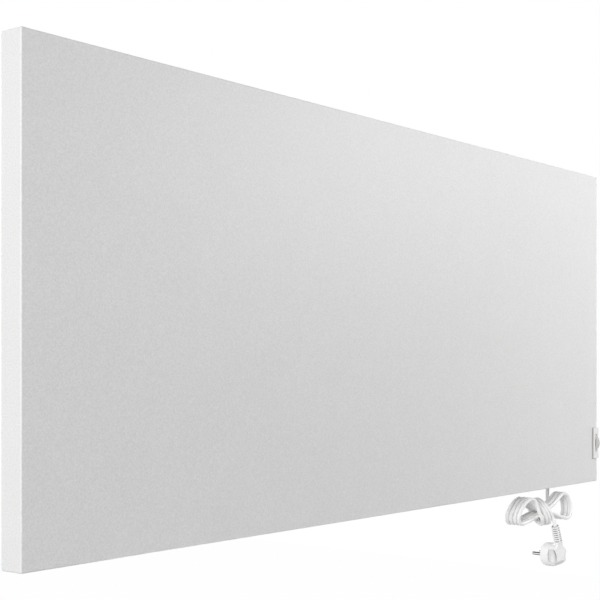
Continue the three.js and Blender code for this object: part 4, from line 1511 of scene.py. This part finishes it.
@dataclass(frozen=True)
class Plug:
    """The angled plug: strain relief, hand grip, round face, pins and earth clips.

    Its pieces are made about its own middle: x from its axis, y the depth and z the height from the
    axis.
    """

    radius: float = 18.5
    back_radius: float = 16.6
    back: float = 3.0
    seam: float = 17.3
    face: float = 32.6
    fit: float = 0.3
    pin: float = 2.4
    pin_length: float = 19.0
    pin_spacing: float = 19.0

    @property
    def stand(self) -> Matrix:
        """Takes the plug's own middle to its place, with its pins a little to the right."""
        return Matrix.Translation(PLUG_PLACE) @ Matrix.Rotation(math.radians(-PLUG_TURN), 4, "Z")

    def relief_ends(self) -> tuple[Vector, Vector]:
        """The strain relief's tip and foot, from the plug's own middle."""
        back = self.stand.inverted()
        return back @ Vector(RELIEF_TOP), back @ Vector(RELIEF_FOOT)

    def relief(self) -> Workpiece:
        """The ribbed strain relief, leaning as the lead falls."""
        top, foot = self.relief_ends()
        shape = StrainRelief(
            tip=6.0, foot=6.8, length=(foot - top).length, ribs=7, groove=2.0, collar=2.4,
            web=1.8, turn=38.0,
        )
        return shape.build("plug_relief", onto(top, foot))

    def grip(self) -> Workpiece:
        """The grip: a back that slants out to a lip, a hollow on each side and a neck above."""
        r, seam = self.radius, self.seam - self.fit
        side = [(9.0, 19.0), (seam, 19.0), (seam, -r), (10.5, -15.1), (6.3, -11.3), (3.6, -8.5),
                (self.back, -6.7), (6.8, 13.4)]
        body = Workpiece.prism("plug_handle", side, -r, r)
        body.combine("INTERSECT", Workpiece.rod(
            "round", "y", self.back_radius, (self.back - 1.0, seam), (0.0, 0.0), 96, r))
        for hand in (-1.0, 1.0):
            facet = Workpiece.block("facet", (0.0, -10.0, -30.0), (30.0, 0.0, 30.0))
            facet.placed(Matrix.Rotation(math.radians(7.0), 4, "Z"))
            shift = Matrix.Translation((4.5, self.back + 0.6, 0.0))
            facet.placed(Matrix.Diagonal((hand, 1.0, 1.0, 1.0)) @ shift)
            body.cut(facet.outward())
        neck = Workpiece.rod("neck", "z", 9.5, (4.0, 23.0), (0.0, 10.0), 48, 6.6)
        neck.combine("INTERSECT", Workpiece.block("slab", (-20.0, 6.0, 0.0), (20.0, seam, 30.0)))
        body.join(neck)
        lean = Matrix.Rotation(-HOLLOW.lean, 4, "X")
        x, y, z = HOLLOW.middle
        for hand in (-1.0, 1.0):
            hollow = Workpiece.ball("hollow", ORIGIN, HOLLOW.radii)
            body.cut(hollow.placed(Matrix.Translation((hand * x, y, z)) @ lean))
        top, foot = self.relief_ends()
        above = Workpiece.block("above", (-15.0, -15.0, -30.0), (15.0, 15.0, self.fit))
        way = Vector((0.0, 0.0, 1.0)).rotation_difference(foot - top).to_matrix().to_4x4()
        body.cut(above.placed(Matrix.Translation(foot) @ way))
        return body.moulded(0.32, 3)

    def disc(self) -> Workpiece:
        """The round front with a rounded rim, a socket for an earth pin and beds for the clips."""
        r, deep = self.radius, self.face - self.seam
        profile = [
            (r - 0.9, 0.0), (r - 0.25, 0.25), (r, 0.9), (r, deep - 2.4), (r - 0.35, deep - 1.3),
            (r - 1.1, deep - 0.4), (r - 2.2, deep), (r - 6.0, deep),
        ]
        disc = Workpiece.turned("plug_disc", profile, 96, backwards(0.0, self.seam, 0.0))
        for hand in (-1.0, 1.0):
            ends = sorted((hand * (r - 1.9), hand * (r + 1.0)))
            low, high = (-4.6, self.seam + 1.2, ends[0]), (4.6, self.face + 1.0, ends[1])
            disc.cut(Workpiece.block("bed", low, high))
        bore = (self.face - 9.0, self.face + 1.0)
        disc.cut(Workpiece.rod("socket", "y", 2.6, bore, (0.0, 9.5), 40))
        return disc.soften(0.25, 2, 50.0)

    def pins(self) -> list[Workpiece]:
        """The two round pins, each with a rounded end."""
        r, length = self.pin, self.pin_length
        profile = [(r, -0.3), (r, length - 2.2), (r - 0.12, length - 1.4), (r - 0.5, length - 0.7),
                   (r - 1.05, length - 0.25), (r - 1.7, length - 0.02)]
        half, foot = self.pin_spacing / 2, self.face + self.fit
        return [
            Workpiece.turned(f"pin_{side}", profile, 40, backwards(x, foot, 0.0)).shaded(60.0)
            for side, x in (("left", -half), ("right", half))
        ]

    def clips(self) -> list[Workpiece]:
        """The two sprung earth clips, nearly flush in their beds."""
        made = []
        low, high = self.seam + 1.6, self.face - 0.5
        bed, crest = self.radius - 1.7, self.radius - 0.35
        hump = ((low, bed), (low + 1.6, crest), (high - 3.2, crest), (high - 0.6, bed + 0.3),
                (high, bed))
        for end, hand in (("top", 1.0), ("bottom", -1.0)):
            profile = [(depth, hand * out) for depth, out in hump]
            made.append(Workpiece.folded(f"clip_{end}", profile, -3.9, 3.9, 0.6, 0.5).shaded(40.0))
        return made

    def build(self) -> list[bpy.types.Object]:
        """Builds the plug.

        Returns:
            Its pieces.
        """
        pieces = [
            (self.relief(), Slot.PVC, RELIEF_PLASTIC, "plug_strain_relief"),
            (self.grip(), Slot.WHITE_PLASTIC, GRIP_PLASTIC, "plug_grip"),
            (self.disc(), Slot.WHITE_PLASTIC, PLUG_PLASTIC, "plug_face"),
            *((pin, Slot.NICKEL, PIN_NICKEL, f"plug_{pin.obj.name}") for pin in self.pins()),
            *((clip, Slot.NICKEL, None, f"earth_{clip.obj.name}") for clip in self.clips()),
        ]
        return [piece.placed(self.stand).publish(Body.PANEL, slot, finish, (node,))
                for piece, slot, finish, node in pieces]


# ---------------------------------------------------------------------------------------- the panel


@dataclass(frozen=True)
class Screw:
    """A pan-head screw with a cross recess, seen from its head."""

    radius: float = 3.2
    height: float = 1.6

    def head(self, name: str) -> Workpiece:
        """The head, standing on the origin and pointing at the wall.

        Args:
            name: the piece's name.

        Returns:
            The workpiece.
        """
        r, h = self.radius, self.height
        profile = [(r * 0.45, -2.0), (r * 0.45, 0.0), (r, 0.0), (r, h * 0.35), (r * 0.93, h * 0.62),
                   (r * 0.76, h * 0.85), (r * 0.5, h * 0.97), (r * 0.2, h)]
        head = Workpiece.turned(name, profile, 32, backwards(0.0, 0.0, 0.0))
        arm, thick = r * 0.56, r * 0.17
        for x, z in ((arm, thick), (thick, arm)):
            head.cut(Workpiece.block("cross", (-x, h * 0.3, -z), (x, h + 1.0, z)))
        return head.shaded(40.0)


@dataclass(frozen=True)
class Tray:
    """The folded front tray and the plate that closes its back."""

    width: float = 1200.0
    height: float = 500.0
    depth: float = 28.9
    thickness: float = 30.0
    sheet: float = 1.2
    back_sheet: float = 0.8
    flange: float = 14.0
    edge: float = 1.6
    notch_low: float = 37.7
    notch_high: float = 88.3
    notch_left: float = 582.4
    screw_columns: tuple[float, ...] = (-570.0, -190.0, 190.0, 570.0)
    screw_inset: float = 7.0
    gap: float = 3.0
    bead_heights: Pair = (215.0, 300.0)
    bead_ends: Pair = (-540.0, 430.0)
    bead_half: float = 7.0
    bead_rise: float = 1.4

    def front(self) -> Workpiece:
        """The tray: a front, four folded sides and a flange round the back."""
        side = self.width / 2
        tray = Workpiece.block("front_tray", (-side, 0.0, 0.0), (side, self.depth, self.height))
        with tray.editing():
            tray.pick_faces(lambda middle, normal: normal.y > 0.5)
            bpy.ops.mesh.inset(thickness=self.flange, depth=0.0)
            bpy.ops.mesh.delete(type="FACE")
        with tray.editing(Element.EDGE):
            bpy.ops.mesh.edges_select_sharp(sharpness=math.radians(60.0))
            bpy.ops.mesh.bevel(offset=self.edge, segments=5, affect="EDGES")
        tray.modify("SOLIDIFY", thickness=self.sheet, offset=-1.0, use_even_offset=True)
        tray.cut(Workpiece.block(
            "notch", (self.notch_left, -1.0, self.notch_low),
            (side + 1.0, self.depth + 1.0, self.notch_high),
        ))
        return tray.shaded()

    def back(self) -> Workpiece:
        """The back plate, with two pressed beads that stiffen it."""
        side, inner = self.width / 2 - self.gap, self.thickness - self.back_sheet
        low, high = (-side, inner, self.gap), (side, self.thickness, self.height - self.gap)
        plate = Workpiece.block("back_panel", low, high)
        (left, right), crest = self.bead_ends, self.thickness + self.bead_rise
        for up in self.bead_heights:
            low, high = up - self.bead_half, up + self.bead_half
            bead = Workpiece.block("bead", (left, inner + 0.1, low), (right, crest, high))
            with bead.editing():
                bead.pick_faces(lambda middle, normal: normal.y > 0.5)
                middle = ((left + right) / 2.0, crest, up)
                bpy.ops.transform.resize(value=(0.99, 1.0, 0.45), center_override=middle)
            plate.join(bead)
        return plate.soften(0.35, 2, 25.0)

    def build(self) -> None:
        """Builds the tray, its back plate and the screws."""
        self.front().publish(Body.PANEL, Slot.ENAMEL, None, ("front_shell",))
        self.back().publish(Body.PANEL, Slot.ZINC, None, ("back_plate",))
        head = Screw().head("back_screw_head")
        seat = self.thickness + 0.05
        rows = (self.screw_inset, self.height - self.screw_inset)
        places = [(x, seat, z) for x in self.screw_columns for z in rows]
        for number, place in enumerate(places, 1):
            copy = head.copy(f"back_screw_head_{number}", place)
            copy.publish(Body.PANEL, Slot.ZINC, SCREW_ZINC, (f"back_screw_{number}",))
        bpy.data.objects.remove(head.obj)


@dataclass(frozen=True)
class Thermostat:
    """The thermostat let into the right edge: a white cover on a grey base, and the thumbwheel."""

    left: float = 582.7
    right: float = 600.0
    low: float = 38.0
    high: float = 88.0
    proud: float = 3.2
    back: float = 28.4
    skin: float = 0.7
    strip: float = 1.6
    inside: float = -1.0
    thumb_depth: float = 2.0
    thumb_half: float = 15.5
    wheel_radius: float = 17.0
    wheel_thickness: float = 5.0
    wheel_proud: float = 5.0
    teeth: int = 36
    slot_half: float = 14.4

    @property
    def axle(self) -> Point:
        """The middle of the thumbwheel."""
        return ((self.left + self.right) / 2, self.wheel_radius - self.proud - self.wheel_proud,
                (self.low + self.high) / 2)

    def slot(self, spare: float) -> Workpiece:
        """The opening that the wheel stands out of, as a tool to cut it.

        Args:
            spare: how much wider than the cover's opening it is.

        Returns:
            The tool.
        """
        x, _, z = self.axle
        half = self.wheel_thickness / 2 + 0.7 + spare
        tall = self.slot_half + spare
        low, high = (x - half, -self.proud - 1.0, z - tall), (x + half, 6.0, z + tall)
        tool = Workpiece.block("slot", low, high)
        with tool.editing(Element.EDGE):
            tool.pick_edges(lambda a, b: abs(a.y - b.y) > 1.0)
            bpy.ops.mesh.bevel(offset=1.6, segments=5, affect="EDGES")
        return tool

    def thumb(self) -> Workpiece:
        """The shallow round hollow for the thumb, deepest at the right edge, as a cutting tool."""
        run = self.right - self.left - 2.0
        bend = (self.thumb_half ** 2 + self.thumb_depth ** 2) / (2.0 * self.thumb_depth)
        tool = Workpiece.rod("thumb", "x", bend, (-run - 3.0, 3.0), (-bend, 0.0), 512)
        lean = Matrix.Rotation(math.atan(self.thumb_depth / run), 4, "Z")
        place = Matrix.Translation((self.right, self.thumb_depth - self.proud, self.axle[2]))
        return tool.placed(place @ lean)

    def cover(self) -> Workpiece:
        """The white cover: its front and its right side in one moulding."""
        cover = Workpiece.block("thermostat_cap", (self.left, -self.proud, self.low),
                                (self.right, self.back, self.high))
        with cover.editing(Element.EDGE):
            front = -self.proud
            cover.pick_edges(lambda a, b: a.y < front + 0.01 and b.y < front + 0.01)
            bpy.ops.mesh.bevel(offset=0.5, segments=4, affect="EDGES")
        hollow = Workpiece.block(
            "hollow", (self.left - 1.0, -self.proud + self.skin, self.low - 1.0),
            (self.left + self.strip, self.back + 1.0, self.high + 1.0),
        )
        well = Workpiece.block(
            "well", (self.left + 1.0, self.inside, self.low + 1.6),
            (self.right - 1.6, self.back + 1.0, self.high - 1.6),
        )
        return cover.cut(hollow, well, self.slot(0.0), self.thumb()).shaded()

    def base(self) -> Workpiece:
        """The grey base, which shows as a strip along the left side."""
        gap = 0.05
        base = Workpiece.block(
            "thermostat_base", (self.left, -self.proud + self.skin + gap, self.low),
            (self.left + self.strip - gap, self.back, self.high),
        )
        floor = Workpiece.block(
            "floor", (self.left + self.strip - 0.6, self.back - 1.6, self.low + 1.7),
            (self.right - 1.7, self.back - 0.1, self.high - 1.7),
        )
        return base.join(floor).soften(0.12, 2, 50.0)

    def wheel(self) -> Workpiece:
        """The thumbwheel, with shallow teeth round its rim and a dished face."""
        half, radius, axis = self.wheel_thickness / 2, self.wheel_radius, (0.0, 0.0)
        through = (-half - 1.0, half + 1.0)
        wheel = Workpiece.rod("thumbwheel_rim", "x", radius, (-half, half), axis, self.teeth * 4)
        gap = Workpiece.rod("tooth_gap", "x", 0.85, through, (radius + 0.25, 0.0), 16)
        wheel.cut(gap.ringed(self.teeth))
        for ends in ((-half - 1.0, -half + 0.8), (half - 0.8, half + 1.0)):
            wheel.cut(Workpiece.rod("dish", "x", radius - 3.4, ends, axis, 64))
        wheel.cut(Workpiece.rod("bore", "x", 2.2, through, axis, 32))
        return wheel.soften(0.15, 2, 35.0).placed(Matrix.Translation(self.axle))

    def build(self) -> None:
        """Builds the cover, the base and the wheel."""
        self.cover().publish(Body.PANEL, Slot.WHITE_PLASTIC, None, ("thermostat_housing",))
        self.base().publish(Body.PANEL, Slot.WHITE_PLASTIC, BASE_PLASTIC, ("thermostat_housing",))
        self.wheel().publish(Body.WHEEL, Slot.GREY_PLASTIC, None, ("thumbwheel",))


@dataclass(frozen=True)
class WallMounting:
    """The rail on the wall, the panel's two hangers and its two bumpers."""

    length: float = 800.0
    middle: float = RAIL_HEIGHT
    plate: float = 36.0
    sheet: float = 2.0
    step: float = 8.0
    lip: float = 13.0
    hanger_x: float = 350.0
    hanger_width: float = 60.0
    hanger_front: float = 30.3
    hanger_back: float = 52.0
    bumper_x: float = 420.0
    bumper_up: float = 24.0
    bumper_length: float = 24.7

    def rail(self) -> Workpiece:
        """The folded rail, with its screw holes."""
        half, mid = self.plate / 2, self.sheet / 2
        wall, lip = WALL_DEPTH - mid, WALL_DEPTH - self.step + mid
        profile = [(wall, self.middle - half), (wall, self.middle + half - mid),
                   (lip, self.middle + half - mid), (lip, self.middle + half + self.lip)]
        end = self.length / 2
        rail = Workpiece.folded("hanging_rail", profile, -end, end, self.sheet, 1.6)
        for x in (-360.0, -120.0, 120.0, 360.0):
            ends = (WALL_DEPTH - self.sheet - 1.0, WALL_DEPTH + 1.0)
            rail.cut(Workpiece.rod("hole", "y", 3.0, ends, (x, self.middle - 4.0), 32))
        return rail.soften(0.2, 2, 50.0)

    def hanger(self, name: str, x: float) -> Workpiece:
        """A hanger: a plate on the panel's back, a bridge over the lip and a tongue behind it.

        Args:
            name: the piece's name.
            x: its middle.

        Returns:
            The workpiece.
        """
        mid = self.sheet / 2
        base = self.middle + self.plate / 2
        top = base + self.lip + 0.3 + mid
        front, back = self.hanger_front + mid, self.hanger_back - mid
        profile = [(front, base + self.lip - 48.0), (front, top), (back, top), (back, base + 1.0)]
        half = self.hanger_width / 2
        hanger = Workpiece.folded(name, profile, x - half, x + half, self.sheet, 1.4)
        for hand in (-1.0, 1.0):
            ends = (self.hanger_front + self.sheet - 0.4, self.hanger_front + self.sheet + 1.1)
            place = (x + hand * 17.0, base + self.lip - 34.0)
            hanger.join(Workpiece.rod("rivet", "y", 4.2, ends, place, 32, 2.6))
        return hanger.soften(0.25, 2, 50.0)

    def bumper(self, name: str, x: float) -> Workpiece:
        """A turned rubber bumper with a flanged foot and a rounded end.

        Args:
            name: the piece's name.
            x: its middle.

        Returns:
            The workpiece.
        """
        end = self.bumper_length
        profile = [
            (10.6, 0.0), (11.0, 0.4), (11.0, 2.4), (10.5, 3.1), (8.6, 4.2), (7.9, 5.4),
            (7.1, 20.0), (6.8, end - 2.2), (6.2, end - 0.8), (5.2, end - 0.1), (4.0, end),
        ]
        place = backwards(x, self.hanger_front, self.bumper_up)
        return Workpiece.turned(name, profile, 40, place).shaded(50.0)

    def build(self) -> None:
        """Builds the rail, the hangers and the bumpers."""
        self.rail().publish(Body.RAIL, Slot.ZINC, None, ("wall_rail",))
        for side, hand in (("left", -1.0), ("right", 1.0)):
            hanger = self.hanger(f"hook_{side}", hand * self.hanger_x)
            hanger.publish(Body.PANEL, Slot.ZINC, None, (f"hanger_{side}",))
            bumper = self.bumper(f"stand_off_{side}", hand * self.bumper_x)
            bumper.publish(Body.PANEL, Slot.RUBBER, None, (f"bumper_{side}",))


@dataclass(frozen=True)
class ConnectionBox:
    """The box on the back where the mains lead goes in, with its lid and gland."""

    x: float = 500.0
    up: float = 125.0
    width: float = 92.0
    height: float = 62.0
    front: float = 30.3
    depth: float = 19.2
    lid: float = 1.8
    fit: float = 0.3
    wall: float = 2.0
    gland_x: float = 507.0
    gland_depth: float = 41.0
    gland_length: float = 33.0
    posts: tuple[Pair, Pair] = ((461.0, 148.0), (539.0, 102.0))

    @property
    def low(self) -> float:
        """The height of its lower edge."""
        return self.up - self.height / 2

    def rounded(self, name: str, ends: Pair, inset: float) -> Workpiece:
        """A block of the box's outline with rounded corners.

        Args:
            name: the piece's name.
            ends: the depths of its front and back.
            inset: how far inside the box's outline it lies.

        Returns:
            The workpiece.
        """
        x, z = self.width / 2 - inset, self.height / 2 - inset
        low, high = (self.x - x, ends[0], self.up - z), (self.x + x, ends[1], self.up + z)
        piece = Workpiece.block(name, low, high)
        with piece.editing(Element.EDGE):
            piece.pick_edges(lambda a, b: abs(a.y - b.y) > 1.0)
            bpy.ops.mesh.bevel(offset=max(0.6, 3.0 - inset), segments=5, affect="EDGES")
        return piece

    def base(self) -> Workpiece:
        """The open base, with the lead's hole in its lower wall."""
        back = self.front + self.depth
        base = self.rounded("box_base", (self.front, back), 0.0)
        base.cut(self.rounded("inside", (self.front + self.wall, back + 1.0), self.wall))
        hole = Workpiece.rod("hole", "z", 6.3, (self.low - 1.0, self.low + self.wall + 1.0),
                             (self.gland_x, self.gland_depth), 40)
        return base.cut(hole).soften(0.4, 2, 50.0)

    def cover(self) -> Workpiece:
        """The lid, with a raised middle and sunk screw seats."""
        low = self.front + self.depth + self.fit
        lid = self.rounded("box_cover", (low, low + self.lid), 0.0)
        lid.join(self.rounded("raised", (low + 1.0, low + self.lid + 0.7), 9.0))
        for x, z in self.posts:
            lid.cut(Workpiece.rod("seat", "y", 1.8, (low - 1.0, low + 4.0), (x, z), 32))
        return lid.soften(0.35, 2, 40.0)

    def gland(self) -> Workpiece:
        """The tapered gland: rings down to the lead, a collar against the box."""
        foot = self.low - self.fit
        tip = Vector((self.gland_x, self.gland_depth, foot - self.gland_length))
        shape = StrainRelief(
            tip=4.3, foot=6.9, length=self.gland_length, ribs=7, groove=1.0, collar=3.0,
            web=1.6, turn=45.0,
        )
        gland = shape.build("lead_gland", onto(tip, tip + Vector((0.0, 0.0, 1.0))))
        axis = (self.gland_x, self.gland_depth)
        collar = Workpiece.rod("collar", "z", 8.5, (foot - 3.0, foot), axis, 48)
        neck = Workpiece.rod("neck", "z", 5.9, (foot - 0.5, foot + 4.6), axis, 48)
        return gland.join(collar.soften(0.6, 3), neck).shaded(45.0)

    def build(self) -> None:
        """Builds the base, the lid, its screws and the gland."""
        self.base().publish(Body.PANEL, Slot.WHITE_PLASTIC, None, ("connection_box",))
        self.cover().publish(Body.PANEL, Slot.WHITE_PLASTIC, None, ("connection_box_lid",))
        seat = self.front + self.depth + self.fit + self.lid + 0.05
        head = Screw(3.0, 1.6).head("lid_screw_head")
        for number, (x, z) in enumerate(self.posts, 1):
            copy = head.copy(f"lid_screw_head_{number}", (x, seat, z))
            copy.publish(Body.PANEL, Slot.ZINC, SCREW_ZINC, (f"lid_screw_{number}",))
        bpy.data.objects.remove(head.obj)
        self.gland().publish(Body.PANEL, Slot.WHITE_PLASTIC, None, ("cord_gland",))


def dress_nodes(frame: Mapping[str, Any]) -> None:
    """Gives every CAD node the finish of its slot.

    Args:
        frame: the loaded frame.
    """
    slots = {part["node"]: Slot(part["material_slot"]) for part in frame["record"]["subparts"]}
    for name, node in frame["nodes"].items():
        finish = FINISHES[slots[name]]
        for material_slot in node.material_slots:
            material_slot.link = "OBJECT"
            material_slot.material = material_of(finish)
        LOG.info("%s is finished as %s", name, finish.name)


def main() -> None:
    """Loads the frame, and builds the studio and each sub-assembly."""
    logging.basicConfig(level=logging.INFO, format="%(name)s: %(message)s")
    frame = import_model()
    studio = Studio()
    studio.camera()
    MainsLead().build(Plug().build())
    for assembly in (Tray(), Thermostat(), WallMounting(), ConnectionBox()):
        assembly.build()
    dress_nodes(frame)
    studio.build()


if __name__ == "__main__":
    main()
